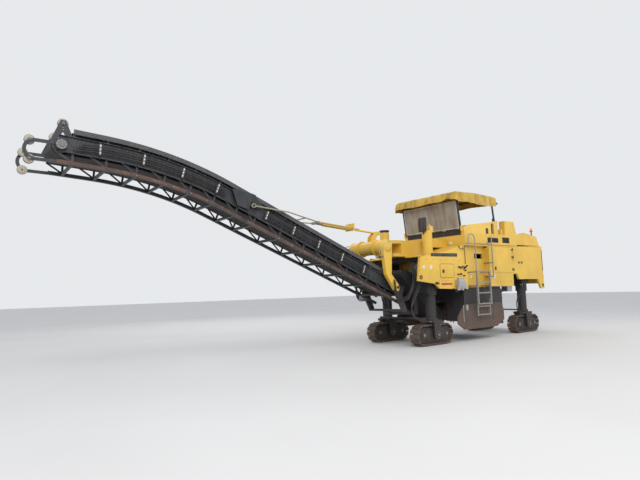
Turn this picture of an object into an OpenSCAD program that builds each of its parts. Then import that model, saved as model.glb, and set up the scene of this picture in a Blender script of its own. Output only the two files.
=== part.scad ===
/* [Running gear] */
// Distance between the front and the rear lifting columns
wheelbase = 5050; // [4900:10:5300]
// Distance between the left and the right lifting columns
column_gauge = 1750; // [1720:5:1780]
// Length of one crawler over its shoes
crawler_length = 1620; // [1520:5:1640]
// Height of one crawler over its shoes
crawler_height = 617; // [600:1:630]
// Width of the track shoes
shoe_width = 320; // [290:5:330]
// Number of shoes on one track
shoe_count = 24; // [20:1:28]
// Thickness of a shoe plate
shoe_plate = 26; // [20:1:32]
// Height of the bar that stands on a shoe
grouser_height = 24; // [16:1:30]
// Diameter of a lifting column
column_dia = 300; // [260:2:320]
// Thickness of a fork plate
fork_thick = 40; // [30:1:50]
// Side gap between the shoes and the fork plates
fork_gap = 35; // [25:1:45]
// Height of the pin on which a crawler rocks
axle_z = 300; // [280:1:320]
// Reach of the steering arms from the column axis
steer_arm = 300; // [260:5:330]

/* [Machine body] */
// Half width over the yellow side panels
body_half = 1250; // [1220:1:1270]
// Rear face behind the column midpoint
rear_x = 3480; // [3440:1:3520]
// Front tip of the side panels before the column midpoint
front_x = 3440; // [3400:1:3450]
// Lower edge of the side panels
panel_low = 1620; // [1600:1:1640]
// Top edge of the side panels at the rear
panel_top = 3050; // [3020:1:3080]
// Thickness of the side panels
panel_thick = 70; // [50:1:80]
// Height of the operator's deck
deck_z = 2950; // [2930:1:2970]
// Top of the rear hood
hood_z = 3480; // [3420:1:3520]

/* [Milling unit] */
// Cutting diameter over the pick tips
drum_dia = 1080; // [1000:5:1100]
// Milling width
mill_width = 2160; // [2100:5:2180]
// Height of the drum axis, raised
drum_z = 1000; // [980:1:1020]
// Place of the drum axis before the column midpoint
drum_x = 300; // [280:1:320]
// Turns of the helical flights from each end to the middle
flight_turns = 1.25; // [1:0.25:1.5]
// Pick holders on each flight
picks_per_flight = 20; // [10:1:24]

/* [Discharge conveyor] */
// Slope of the lower part
slope_low = 22.3; // [20:0.1:24]
// Slope at the tip
slope_tip = 2.5; // [0:0.1:6]
// Radius of the bend of the outer part
bend_radius = 7740; // [7400:10:8000]
// Place of the lift pins before the column midpoint
lift_x = 3720; // [3700:1:3740]
// Height of the lift pins
lift_z = 1690; // [1680:1:1710]
// Distance along the belt from the lift pins to the fold
fold_s = 5004; // [4900:4:5100]
// Distance along the belt from the fold to the start of the bend
bend_start = 600; // [500:10:700]
// Straight length after the bend
tip_length = 850; // [800:10:900]
// Half width over the side plates
conveyor_half = 550; // [530:1:560]
// Half depth from the middle line to the chords
conveyor_depth = 340; // [330:1:350]
// Width of the belt
belt_width = 800; // [760:10:840]
// Radius of the belt pulleys
pulley_radius = 140; // [130:1:150]
// Place of the slew axis before the column midpoint
slew_x = 3400; // [3380:1:3420]

/* [Canopy] */
// Length of the roof
roof_length = 2180; // [2100:10:2300]
// Half width of the roof
roof_half = 1300; // [1280:5:1330]
// Lower edge of the roof's valance
roof_low = 4345; // [4340:1:4370]
// Height of the roof over its lower edge
roof_rise = 260; // [250:5:300]

/* [Hidden] */
$fn = 48;
yellow = "#f0c419";
black = "#23262a";
grey = "#7d7f80";
gap = 0.3;
clear = 6;

cx = wheelbase / 2;
cy = column_gauge / 2;
fork_in = shoe_width / 2 + fork_gap;
fork_out = fork_in + fork_thick;
track_r = crawler_height / 2;
shoe_r = track_r - grouser_height;
chain_r = shoe_r - shoe_plate;
chain_thick = 34;
wheel_r = chain_r - chain_thick - gap;
track_flat = crawler_length - 2 * track_r - 12;
roller_r = 42;
roller_z = track_r - chain_r + chain_thick + roller_r + gap;
roller_pitch = track_flat / 4.6;
shoe_pitch = (2 * track_flat + 2 * PI * chain_r) / shoe_count;
yoke_z = crawler_height + 25;
yoke_thick = 80;
sleeve_r = column_dia / 2 + 40;
sleeve_low = 1450;
sleeve_top = 2400;
column_top = 2300;
tie_z = yoke_z + yoke_thick + 45;
tie_r = 32;

// The whole machine stands on z = 0 with the middle of its length over the origin.
bend_s = fold_s + bend_start;
bend_x = lift_x + bend_s * cos(slope_low);
bend_z = lift_z + bend_s * sin(slope_low);
centre_x = bend_x + bend_radius * sin(slope_low);
centre_z = bend_z - bend_radius * cos(slope_low);
arc_len = bend_radius * (slope_low - slope_tip) * PI / 180;
tip_s = fold_s + bend_start + arc_len + tip_length;
hook_r = 200;
hook = cv_pt(tip_s) + [257, -145];
front_reach = hook[0] + hook_r;
mid_x = (front_reach - rear_x) / 2;
module in_place() translate([-mid_x, 0, 0]) children();

// Slope and point of the conveyor's middle line at s, the distance along it from the lift pins.
function cv_angle(s) = s < bend_s ? slope_low
    : s < bend_s + arc_len ? slope_low - (s - bend_s) / bend_radius * 180 / PI : slope_tip;
function cv_pt(s) = s < bend_s ? [lift_x + s * cos(slope_low), lift_z + s * sin(slope_low)]
    : s < bend_s + arc_len
        ? [centre_x - bend_radius * sin(cv_angle(s)), centre_z + bend_radius * cos(cv_angle(s))]
        : [centre_x - bend_radius * sin(slope_tip) + (s - bend_s - arc_len) * cos(slope_tip),
           centre_z + bend_radius * cos(slope_tip) + (s - bend_s - arc_len) * sin(slope_tip)];
// Puts children, drawn with x along the belt, y left and z square to the belt, at s.
module at_s(s) translate([cv_pt(s)[0], 0, cv_pt(s)[1]]) rotate([0, -cv_angle(s), 0]) children();
// Runs a section, drawn as (left, square to the belt), between two places on one straight stretch.
module straight(s0, s1) at_s(s0) rotate([90, 0, 90]) linear_extrude(s1 - s0) children();
module bent() translate([centre_x, 0, centre_z]) rotate([90, 0, 0]) rotate([0, 0, 90 + slope_tip])
    rotate_extrude(angle = slope_low - slope_tip, $fn = 180) translate([bend_radius, 0]) rotate(-90) children();
module both_sides() {
    children();
    mirror([0, 1, 0]) children();
}
// A bar between two points of the plane y = const, given as [x, z].
module bar(a, b, y0, width, thick) {
    l = norm(b - a);
    translate([a[0], y0, a[1]]) rotate([0, -atan2(b[1] - a[1], b[0] - a[0]), 0])
        translate([0, -width / 2, -thick / 2]) cube([l, width, thick]);
}
// A round rod between any two points.
module rod(a, b, r) {
    d = b - a;
    l = norm(d);
    translate(a) rotate([0, acos(d[2] / l), atan2(d[1], d[0])]) cylinder(r = r, h = l, $fn = 20);
}
// A plate drawn as [x, z] points, from y0 to y0 + thick.
module plate(points, y0, thick) translate([0, y0 + thick, 0]) rotate([90, 0, 0])
    linear_extrude(thick) polygon(points);
module box(lo, hi) translate(lo) cube(hi - lo);
module cross_pin(x, z, y0, y1, r) translate([x, y0, z]) rotate([-90, 0, 0]) cylinder(r = r, h = y1 - y0);

module stadium(length, r) {
    translate([-length / 2, 0]) circle(r);
    translate([length / 2, 0]) circle(r);
    square([length, 2 * r], center = true);
}
module half_stadium(length, r) {
    translate([length, 0]) circle(r);
    translate([0, -r]) square([length, 2 * r]);
}
// Place and turn of a point at distance u along the chain loop.
function loop_at(u) = let (e = PI * chain_r)
    u < track_flat ? [-track_flat / 2 + u, chain_r, 0]
    : u < track_flat + e ? let (t = (u - track_flat) / chain_r * 180 / PI)
        [track_flat / 2 + chain_r * sin(t), chain_r * cos(t), -t]
    : u < 2 * track_flat + e ? [track_flat / 2 - (u - track_flat - e), -chain_r, 180]
    : let (t = (u - 2 * track_flat - e) / chain_r * 180 / PI)
        [-track_flat / 2 - chain_r * sin(t), -chain_r * cos(t), 180 - t];
module shoe_2d() {
    translate([-shoe_pitch / 2 + 6, -3]) square([shoe_pitch - 12, shoe_plate + 3]);
    translate([-14, shoe_plate - 1]) square([28, grouser_height + 1]);
}
module track() color(black) translate([0, 0, track_r]) rotate([90, 0, 0]) {
    linear_extrude(shoe_width, center = true) for (i = [0:shoe_count - 1]) {
        p = loop_at((i + 0.5) * shoe_pitch);
        translate([p[0], p[1]]) rotate(p[2]) shoe_2d();
    }
    linear_extrude(150, center = true) difference() {
        stadium(track_flat, chain_r);
        stadium(track_flat, chain_r - chain_thick);
    }
}
module leg() color(black) {
    translate([0, 0, yoke_z]) cylinder(d = column_dia, h = column_top - yoke_z);
    box([-210, -fork_out, yoke_z], [210, fork_out, yoke_z + yoke_thick]);
    translate([0, 0, yoke_z]) cylinder(d = column_dia + 70, h = yoke_thick + 30);
    for (side = [-1, 1]) {
        y0 = side > 0 ? fork_in : -fork_out;
        plate([[-130, axle_z], [130, axle_z], [150, yoke_z + 1], [-150, yoke_z + 1]], y0, fork_thick);
        cross_pin(0, axle_z, y0, y0 + fork_thick, 130);
    }
    cross_pin(0, axle_z, -fork_out - 18, fork_out + 18, 46);
    // The track frame with its sprocket, idler and rollers.
    box([-track_flat / 2 + 60, -90, axle_z - 70], [track_flat / 2 - 60, 90, axle_z + 70]);
    for (x = [-track_flat / 2, track_flat / 2]) {
        cross_pin(x, track_r, -34, 34, wheel_r);
        cross_pin(x, track_r, -136, 136, 120);
        cross_pin(x, track_r, -150, 150, 55);
    }
    for (side = [-1, 1]) translate([0, side * 100 + 10, track_r]) rotate([90, 0, 0]) linear_extrude(20) difference() {
        stadium(track_flat, chain_r - chain_thick - 16);
        for (x = [-1, 1]) translate([x * track_flat / 3.2, 0]) stadium(60, 62);
    }
    for (x = [-1.5, -0.5, 0.5, 1.5]) translate([x * roller_pitch, 0, 0]) {
        cross_pin(0, roller_z, -34, 34, roller_r);
        cross_pin(0, roller_z, -100, 100, 22);
    }
    for (y = [-1, 1]) cross_pin(0, axle_z, y > 0 ? 88 : -fork_in + gap, y > 0 ? fork_in - gap : -88, 70);
}
module steer_lever(ahead) translate([0, 0, yoke_z]) {
    box([ahead > 0 ? 0 : -steer_arm, -55, 0], [ahead > 0 ? steer_arm : 0, 55, yoke_thick - 5]);
    translate([ahead * steer_arm, 0, 0]) cylinder(r = 55, h = yoke_thick - 5);
    translate([ahead * steer_arm, 0, 0]) cylinder(r = 20, h = tie_z - yoke_z + 25);
}
module leg_at(side_x, side_y) translate([side_x * cx, side_y * cy, 0]) {
    leg();
    color(black) steer_lever(side_x);
}
module track_at(side_x, side_y) translate([side_x * cx, side_y * cy, 0]) track();
module tie_rod(side_x) color(black) translate([side_x * (cx + steer_arm), 0, tie_z]) difference() {
    union() {
        rotate([90, 0, 0]) cylinder(r = tie_r - 8, h = column_gauge - 60, center = true);
        for (y = [-cy, cy]) translate([0, y, -20]) cylinder(r = 42, h = 40);
    }
    for (y = [-cy, cy]) translate([0, y, -30]) cylinder(r = 20 + gap, h = 60);
}

frame_low = 1630;
frame_half = body_half - 200;
niche_y = body_half - 250;
recess_x = 2830;
recess_half = body_half - 190;
tunnel_half = 480;
module sleeve_bores() for (x = [-cx, cx], y = [-cy, cy])
    translate([x, y, sleeve_low - 10]) cylinder(r = column_dia / 2 + gap, h = 1200);
module main_frame() color(black) difference() {
    union() {
        box([-3300, -600, frame_low], [1400, 600, 1950]);
        both_sides() box([1350, tunnel_half + 20, frame_low], [recess_x, 640, 2000]);
        both_sides() box([cx - 230, tunnel_half + 20, 1700], [recess_x - 60, frame_half, 2400]);
        box([-cx - 230, -frame_half, 1700], [-cx + 230, frame_half, 1950]);
        both_sides() box([-cx - 230, 520, 1700], [-cx + 230, frame_half, 2300]);
        for (x = [-cx, cx], y = [-cy, cy]) translate([x, y, sleeve_low]) cylinder(r = sleeve_r, h = 950);
        difference() {
            box([recess_x - 70, -recess_half, 1500], [recess_x, recess_half, 2545]);
            box([recess_x - 80, -tunnel_half, 1300], [recess_x + 10, tunnel_half, 2440]);
        }
        // Lower bearing of the slewing conveyor.
        both_sides() box([recess_x - 70, tunnel_half + 20, 900], [recess_x, tunnel_half + 120, 1510]);
        box([recess_x - 70, -tunnel_half - 120, 880], [recess_x, tunnel_half + 120, 990]);
        translate([0, 0, 890]) linear_extrude(80)
            polygon([[recess_x - 20, -400], [recess_x - 20, 400], [slew_x, 120], [slew_x, -120]]);
        translate([slew_x, 0, 890]) cylinder(r = 120, h = 80);
    }
    sleeve_bores();
    translate([slew_x, 0, 880]) cylinder(r = 55 + gap, h = 100);
}
nose_low = 2590;
nose_top = 3070;
hub_r = 150;
hub_low = 2690;
hub_top = 2970;
module nose_beam() color(yellow) difference() {
    union() {
        box([2240, -440, nose_low], [slew_x, 440, nose_top]);
        translate([slew_x, 0, nose_low]) linear_extrude(nose_top - nose_low)
            polygon([[-1, -440], [60, -380], [190, -120], [190, 120], [60, 380], [-1, 440]]);
    }
    // The slot that the hub of the portal turns in.
    box([slew_x - hub_r - 60, -450, hub_low - clear], [slew_x + 300, 450, hub_top + clear]);
    translate([slew_x, 0, nose_low - 10]) cylinder(r = 70 + gap, h = nose_top - nose_low + 20);
}
hood_front = 3050;
hood_back = 1170;
module front_hood() color(yellow) difference() {
    union() {
        plate([[hood_back, 2010], [cx - 235, 2010], [cx - 235, 2550], [hood_front, 2550], [hood_front, 2580], [2240, 2700],
            [hood_back, 2965]], -inner_half, 2 * inner_half);
        box([hood_back, -560, 2900], [2230, 560, 3160]);
    }
    box([2239.5, -440 - 0.5, 2500], [hood_front + 10, 440 + 0.5, 3300]);
    both_sides() translate([cx, cy, 2000]) cylinder(r = sleeve_r + 1, h = 1000);
    box([hood_back - 10, -tunnel_half, 2000], [cx - 225, tunnel_half, 2150]);
}
tower_top = 3330;
module column_towers() {
    color(yellow) both_sides() translate([cx, cy, 2400 + gap]) {
        cylinder(r = sleeve_r - 10, h = 300);
        cylinder(r = 150, h = tower_top - 2400);
        translate([0, 0, tower_top - 2401]) cylinder(r = 120, h = 21);
    }
    color(yellow) translate([cx, -cy, tower_top]) cylinder(r = 146, h = 140);
    color(yellow) translate([cx, cy, tower_top]) box([-190, -80, -30], [-50, 80, 150]);
}
// The right tower has a cap, the left one a mirror on an arm.
module tower_fittings() color(black) {
    translate([cx, -cy, tower_top + 140 + gap]) {
        cylinder(r = 125, h = 70);
        translate([0, 0, 25]) cylinder(r = 160, h = 55);
    }
    translate([cx, cy, tower_top]) {
        box([180, -150, -40], [205, 150, 400]);
        box([150 + gap, -20, -100], [181, 20, 60]);
    }
}
// Side panel outline: front part with the hatch, drawn as [x, z].
niche_x0 = -60;
niche_x1 = 1160;
tie_down_r = 35;
front_eye = [3330, 1950];
rear_eye = [-3380, 1640];
module front_side() color(yellow) difference() {
    front_plate();
    cross_pin(front_eye[0], front_eye[1], niche_y, body_half + 50, tie_down_r);
}
module front_plate() plate([[niche_x1, panel_low - 40], [2520, panel_low], [2700, 1760],
    [front_x, 1850], [3330, 2520], [3150, 2545], [2240, 2695], [niche_x1, 2960]],
    body_half - panel_thick, panel_thick);
module front_side_left() front_side();
module front_side_right() mirror([0, 1, 0]) front_side();
door_x0 = -1480;
door_x1 = -330;
door_z0 = 2080;
door_z1 = 2940;
module rear_side() color(yellow) {
    difference() {
        plate([[niche_x0, 1650], [-1430, 1630], [-1440, 2040], [-1670, 2060], [-1810, 1860], [-3060, 1860],
            [-3250, 1520], [-rear_x, 1510], [-rear_x + 20, panel_top], [niche_x0, panel_top - 110]],
            body_half - panel_thick, panel_thick);
        box([door_x0 - clear, body_half - panel_thick - 1, door_z0 - clear],
            [door_x1 + clear, body_half + 1, door_z1 + clear]);
        cross_pin(rear_eye[0], rear_eye[1], niche_y, body_half + 50, tie_down_r);
    }
    for (z = [2180, 2480, 2780]) {
        knuckle(z, -60);
        translate([hinge_x, hinge_y, z + 1]) cylinder(r = 5, h = 75);
    }
    // The wall of the niche behind the ladder.
    difference() {
        box([niche_x0 - 1, niche_y, frame_low], [niche_x1 - 1, niche_y + 60, 2940]);
        box([20, niche_y - 1, 2540], [480, niche_y + 61, 2700]);
    }
    box([0, niche_y - 149, 2520], [500, niche_y + 1, 2540]);
    box([niche_x0 - 60, niche_y, panel_low + 40], [niche_x0 - 1, body_half - panel_thick + 1, 2900]);
}
module rear_side_left() rear_side();
module rear_side_right() mirror([0, 1, 0]) rear_side();
// A door hinge pin stands outside the panel; the lower knuckle is the panel's, the upper one the door's.
hinge_x = door_x0 - 3;
hinge_y = body_half + 12;
module knuckle(z, reach) {
    translate([hinge_x, hinge_y, z]) cylinder(r = 10, h = 40);
    box([min(hinge_x, hinge_x + reach), body_half - 1, z], [max(hinge_x, hinge_x + reach), body_half + 10, z + 40]);
}
module service_door() color(yellow) {
    box([door_x0, body_half - 40, door_z0], [door_x1, body_half, door_z1]);
    for (z = [2180, 2480, 2780]) difference() {
        knuckle(z + 40 + gap, 60);
        translate([hinge_x, hinge_y, z]) cylinder(r = 5 + gap, h = 100);
    }
}
module service_door_left() service_door();
module service_door_right() mirror([0, 1, 0]) service_door();
module rear_wall() color(yellow) {
    box([-rear_x + 20, -inner_half, 1700], [-rear_x + 80, inner_half, panel_top]);
    box([-rear_x + 80, 150 - body_half, 1951], [-3200, body_half - 150, 2010]);
    // Frame of the cooler grille and the tail lamps' boxes.
    difference() {
        box([-rear_x + 4, -900, 2250], [-rear_x + 21, 900, 2950]);
        box([-rear_x - 5, -850, 2300], [-rear_x + 15, 850, 2900]);
    }
    both_sides() box([-rear_x, body_half - 260, 1960], [-rear_x + 21, body_half - 150, 2160]);
}
module engine_block() color(grey) box([-3050, -480, 1950 + gap], [-1500, 480, 2900]);
hood_x1 = -1860;
module engine_hood() color(yellow) {
    outer = [[-3460, panel_top + clear], [-3270, 3400], [-2660, hood_z], [hood_x1 - clear, 3420],
        [hood_x1 - clear, panel_top + clear]];
    inner = [[-3420, panel_top], [-3240, 3360], [-2660, hood_z - 40], [hood_x1 - 50, 3380], [hood_x1 - 50, panel_top]];
    difference() {
        plate(outer, 70 - body_half, 2 * body_half - 140);
        plate(inner, 110 - body_half, 2 * body_half - 220);
    }
    for (y = [-700, 700], side = [-1, 1]) difference() {
        union() {
            cross_pin(hood_pin[0], hood_pin[1], y + side * 20 - 8, y + side * 20 + 8, 22);
            box([hood_pin[0] - 22, y + side * 20 - 8, 3400], [hood_pin[0] + 10, y + side * 20 + 8, hood_pin[1]]);
        }
        cross_pin(hood_pin[0], hood_pin[1], y - 40, y + 40, 9 + gap);
    }
}
// The hood's hinge pin, carried by the platform's rear wall.
hood_pin = [-1885, 3450];
wall_half = body_half - 40;
inner_half = body_half - panel_thick - gap;
module platform() color(yellow) difference() {
    platform_solid();
    both_sides() {
        cross_pin(front_post[0], front_post[1], front_post_y, front_post_y + 100, post_pin_r + gap);
        cross_pin(rear_post[0], rear_post[1], rear_post_y, rear_post_y + 100, post_pin_r + gap);
        // Recessed vents and small windows in the outer faces of the walls, drawn as [x, z] corners.
        for (o = wall_openings) box([o[0], wall_half - 30, o[1]], [o[2], wall_half + 10, o[3]]);
    }
}
wall_openings = [[-730, 3075, -90, 3235], [-1400, 3085, -960, 3275], [-180, 3350, -20, 3530], [-470, 3360, -350, 3700]];
module platform_solid() {
    difference() {
        box([hood_x1, -inner_half, panel_top - 109], [1150, inner_half, deck_z + 60]);
        box([hood_x1 + 200, -niche_y, panel_top - 120], [1000, niche_y, deck_z]);
    }
    both_sides() plate([[1150, deck_z + 59], [1150, 3460], [1135, 3500], [1085, 3538], [1020, 3575], [-430, 3760], [-740, 3820],
        [-740, deck_z + 59]], wall_half - 200, 200);
    both_sides() plate([[-1150, deck_z + 59], [-1150, 3840], [-1730, 3850], [hood_x1, 3470],
        [hood_x1, deck_z + 59]], wall_half - 200, 200);
    both_sides() {
        box([-1151, wall_half - 200, deck_z + 59], [-739, wall_half, 3360]);
        box([rear_post[0] - 45, rear_post_y + 40 + gap, 3359], [rear_post[0] + 45, wall_half, rear_post[1] + 45]);
        box([1149, front_post_y + 40 + gap, 3380], [front_post[0] + 45, front_post_y + 85, front_post[1] + 45]);
    }
    box([1090, -wall_half, deck_z + 59], [1150, wall_half, 3400]);
    box([hood_x1, -wall_half, deck_z + 59], [hood_x1 + 60, wall_half, 3465]);
    for (y = [-700, 700]) {
        box([hood_pin[0] - 14, y - 11, hood_pin[1] - 14], [hood_x1 + 1, y + 11, hood_pin[1] + 14]);
        cross_pin(hood_pin[0], hood_pin[1], y - 32, y + 32, 9);
    }
}
module operator_station() color(black) {
    box([820, -700, deck_z + 60.3], [1050, 700, 3350]);
    both_sides() {
        box([-500, 350, deck_z + 60.3], [-250, 600, 3300]);
        box([-620, 250, 3299], [-140, 700, 3420]);
        box([-640, 250, 3419], [-540, 700, 3900]);
    }
}
ladder_y = body_half + 130;
ladder_x0 = 180;
ladder_x1 = 870;
module ladder() color(grey) {
    for (x = [ladder_x0, ladder_x1]) {
        box([x - 25, ladder_y - 25, 1100], [x + 25, ladder_y + 25, 2150]);
        for (z = [1650, 2080]) box([x - 20, niche_y + 60, z], [x + 20, ladder_y, z + 40]);
    }
    for (z = [1120:333:2130]) box([ladder_x0, ladder_y - 20, z - 18], [ladder_x1, ladder_y + 20, z + 18]);
    // Handrails: a hoop before the ladder, a rail behind it and a bar between them.
    for (x = [rail_x0, ladder_x1]) rod([x, ladder_y, x > 0 ? 2140 : 1940], [x, ladder_y, x > 0 ? hoop_z : 3260], rail_r);
    translate([ladder_x1 + hoop_half, ladder_y, hoop_z]) rotate([90, 0, 0])
        rotate_extrude(angle = 180) translate([hoop_half, 0]) circle(r = rail_r, $fn = 20);
    rod([ladder_x1 + 2 * hoop_half, ladder_y, 2900], [ladder_x1 + 2 * hoop_half, ladder_y, hoop_z], rail_r);
    rod([rail_x0, ladder_y, 2985], [ladder_x1, ladder_y, 2985], rail_r);
    rod([rail_x0, wall_half + gap, 3045], [rail_x0, ladder_y + 4, 3045], rail_r);
    rod([ladder_x1 + 2 * hoop_half, body_half + gap, 2905], [ladder_x1 + 2 * hoop_half, ladder_y + 4, 2905], rail_r);
    for (z = [1960, 2400]) rod([rail_x0, niche_y + 60, z], [rail_x0, ladder_y + 4, z], rail_r);
}
rail_x0 = -40;
rail_r = 17;
hoop_half = 170;
hoop_z = 3100;
module ladder_left() ladder();
module ladder_right() mirror([0, 1, 0]) ladder();
module steps() color(grey) {
    y1 = ladder_y - 25 - gap;
    for (x = [ladder_x0, ladder_x1 - 40]) box([x, y1 - 30, 760], [x + 40, y1, 1270]);
    for (z = [786, 1040]) box([ladder_x0 + 10, y1 - 30, z - 16], [ladder_x1 - 10, y1, z + 16]);
}
module steps_left() steps();
module steps_right() mirror([0, 1, 0]) steps();

housing_front = 1330;
housing_rear = -750;
housing_half = body_half - 60;
housing_low = 620;
gate_half = housing_half - 60;
// Filter unit under the left front panel and the box behind the niche.
module filter_unit() color("#9ea1a3") {
    translate([1480, body_half + gap, 1690]) cube([330, 110, 170]);
    for (x = [1560, 1730]) translate([x, body_half + gap + 60, 1555]) cylinder(r = 55, h = 136);
    translate([1440, body_half + gap, 1860]) cube([250, 70, 60]);
}
module battery_box() color("#9ea1a3") box([-1420, 960, 1456], [-1130, inner_half, 1630 - gap]);
module drum_housing() color(black) difference() {
    union() {
        box([housing_rear, -housing_half, housing_low], [housing_front, housing_half, 1560]);
        box([housing_rear, 40 - housing_half, 1559], [housing_front, housing_half - 40, frame_low - gap]);
        both_sides() box([gate_hinge_x - 45, gate_half + gap, gate_hinge_z - 45],
            [housing_rear + 1, gate_half + 30, gate_hinge_z + 45]);
    }
    cross_pin(gate_hinge_x, gate_hinge_z, -housing_half, housing_half, 22 + gap);
    translate([drum_x, 0, drum_z]) rotate([90, 0, 0]) cylinder(r = drum_dia / 2 + 60, h = mill_width + 30, center = true);
    box([drum_x - drum_dia / 2 - 60, -mill_width / 2 - 15, 0], [drum_x + drum_dia / 2 + 60, mill_width / 2 + 15, drum_z]);
    cross_pin(drum_x, drum_z, -housing_half - 10, housing_half + 10, 160 + gap);
    box([housing_front - 700, -tunnel_half, 0], [housing_front + 10, tunnel_half, 1150]);
}
module milling_drum() color(grey) translate([drum_x, 0, drum_z]) {
    rotate([90, 0, 0]) cylinder(r = drum_dia / 2 - 160, h = mill_width - 40, center = true);
    rotate([90, 0, 0]) cylinder(r = 160, h = 2 * housing_half, center = true);
    for (side = [-1, 1], start = [0, 180], i = [0:picks_per_flight - 1]) {
        t = (i + 0.5) / picks_per_flight;
        rotate([0, side * (start + t * flight_turns * 360), 0])
            translate([drum_dia / 2 - 170, side * (mill_width / 2 - 60) * (1 - t), 0]) {
            translate([0, -30, -50]) cube([100, 60, 100]);
            rotate([0, 60, 0]) translate([0, 0, 60]) cylinder(r = 20, h = 116, $fn = 16);
        }
    }
}
plate_y = housing_half + gap;
module side_plate() color("#4a3b33") plate([[1400, 370], [-300, 370], [-740, 560], [-740, 860], [-640, 1130],
    [1330, 1130], [1500, 1000], [1720, 740], [1720, 560]], plate_y, 40);
module side_plate_left() side_plate();
module side_plate_right() mirror([0, 1, 0]) side_plate();
gate_hinge_x = housing_rear - 60;
gate_hinge_z = 1480;
module scraper_gate() color(black) {
    box([gate_hinge_x - 25, -gate_half, 420], [gate_hinge_x + 25, gate_half, gate_hinge_z]);
    cross_pin(gate_hinge_x, gate_hinge_z, -gate_half, gate_half, 40);
    cross_pin(gate_hinge_x, gate_hinge_z, -gate_half - 30, gate_half + 30, 22);
    for (z = [560, 900, 1240]) box([gate_hinge_x - 55, -gate_half, z - 20], [gate_hinge_x - 24, gate_half, z + 20]);
    for (y = [-600, 600]) box([gate_hinge_x - 95, y - 20, 1180], [gate_hinge_x - 24, y + 20, 1320]);
}
loader_a = [1420, 690];
loader_b = [3080, 2090];
module loading_conveyor() color(black) {
    both_sides() bar(loader_a, loader_b, 410, 30, 320);
    bar(loader_a, loader_b, 0, 790.5, 60);
    cross_pin(loader_a[0], loader_a[1], -394, 394, 120);
    cross_pin(loader_b[0], loader_b[1], -394, 394, 120);
    both_sides() box([housing_front + gap, 420, 1190], [1900, 460, 1250]);
}

beam_x = 4060;
beam_z = 2830;
leg_y = conveyor_half + 70;
leg_thick = 110;
lift_pin_r = 40;
post_pin = [3760, 3290];
module conveyor_portal() color(yellow) difference() {
    union() {
        translate([slew_x, 0, hub_low]) cylinder(r = hub_r, h = hub_top - hub_low);
        translate([slew_x, 0, nose_low + 5]) cylinder(r = 70, h = nose_top - nose_low - 10);
        box([slew_x, -140, hub_low], [beam_x, 140, hub_top]);
        cross_pin(beam_x, beam_z, -leg_y - 20, leg_y + 20, 200);
        for (y = [-300, 300]) cross_pin(beam_x, beam_z, y - 22, y + 22, 235);
        both_sides() translate([beam_x, leg_y - 20, beam_z]) sphere(r = 200);
        both_sides() {
            plate([[3880, 3010], [4100, 3040], [4230, 2900], [4230, 2590], [4150, 2040], [3830, 1620],
                [3700, 1580], [3640, 1680], [3700, 1790], [3950, 2060], [3910, 2600]], leg_y, leg_thick);
        }
        both_sides() plate([[3880, 2960], [4090, 2960], [4040, 3180], [3850, 3340], [3700, 3340], [3690, 3240],
            [3800, 3210], [3880, 3100]], 50, 30);
    }
    both_sides() cross_pin(lift_x, lift_z, leg_y - 10, leg_y + leg_thick + 10, lift_pin_r + gap);
    both_sides() cross_pin(post_pin[0], post_pin[1], 40, 90, 22 + gap);
}
// The carrier under the conveyor's foot, between the portal's legs and the lower bearing.
module portal_carrier() color(black) {
    both_sides() plate([[3330, 1000], [3500, 1000], [3830, 1620], [3700, 1580], [3640, 1680], [3480, 1400]],
        leg_y, leg_thick - 40);
    box([3330, -leg_y - 20, 1000], [3480, leg_y + 20, 1060]);
    translate([slew_x, 0, 895]) cylinder(r = 55, h = 120);
}

side_low = -120;
side_high = 190;
cover_low = 262;
cover_arch = 70;
cover_gap = 70;
fold_v = 290;
// The stays' eyes have room for the drift of their pins over the range of the lift.
stay_pin_r = 18;
stay_eye_r = stay_pin_r + 16;
splice = 3;
// The straight lengths next to the bend are 1 mm slimmer all round and run 5 mm into it.
module slim_rect(x0, x1, y0, y1, slim) translate([x0 + slim, y0 + slim]) square([x1 - x0 - 2 * slim, y1 - y0 - 2 * slim]);
module cover_section(slim = 0) {
    r = (conveyor_half * conveyor_half + cover_arch * cover_arch) / (2 * cover_arch);
    intersection() {
        translate([0, cover_low + cover_arch - r]) difference() {
            circle(r - slim, $fn = 360);
            circle(r - 10 + slim, $fn = 360);
        }
        slim_rect(-conveyor_half, conveyor_half, cover_low - 8, cover_low + cover_arch + 20, slim);
    }
}
module side_sections(slim = 0) for (m = [0, 1]) mirror([m, 0]) {
    slim_rect(conveyor_half - 90, conveyor_half - 20, -conveyor_depth, -conveyor_depth + 70, slim);
    slim_rect(conveyor_half - 50, conveyor_half - 38, side_low, side_high, slim);
    slim_rect(conveyor_half - 50, conveyor_half, side_low, side_low + 12, slim);
    slim_rect(conveyor_half - 50, conveyor_half, side_high - 12, side_high, slim);
}
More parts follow.
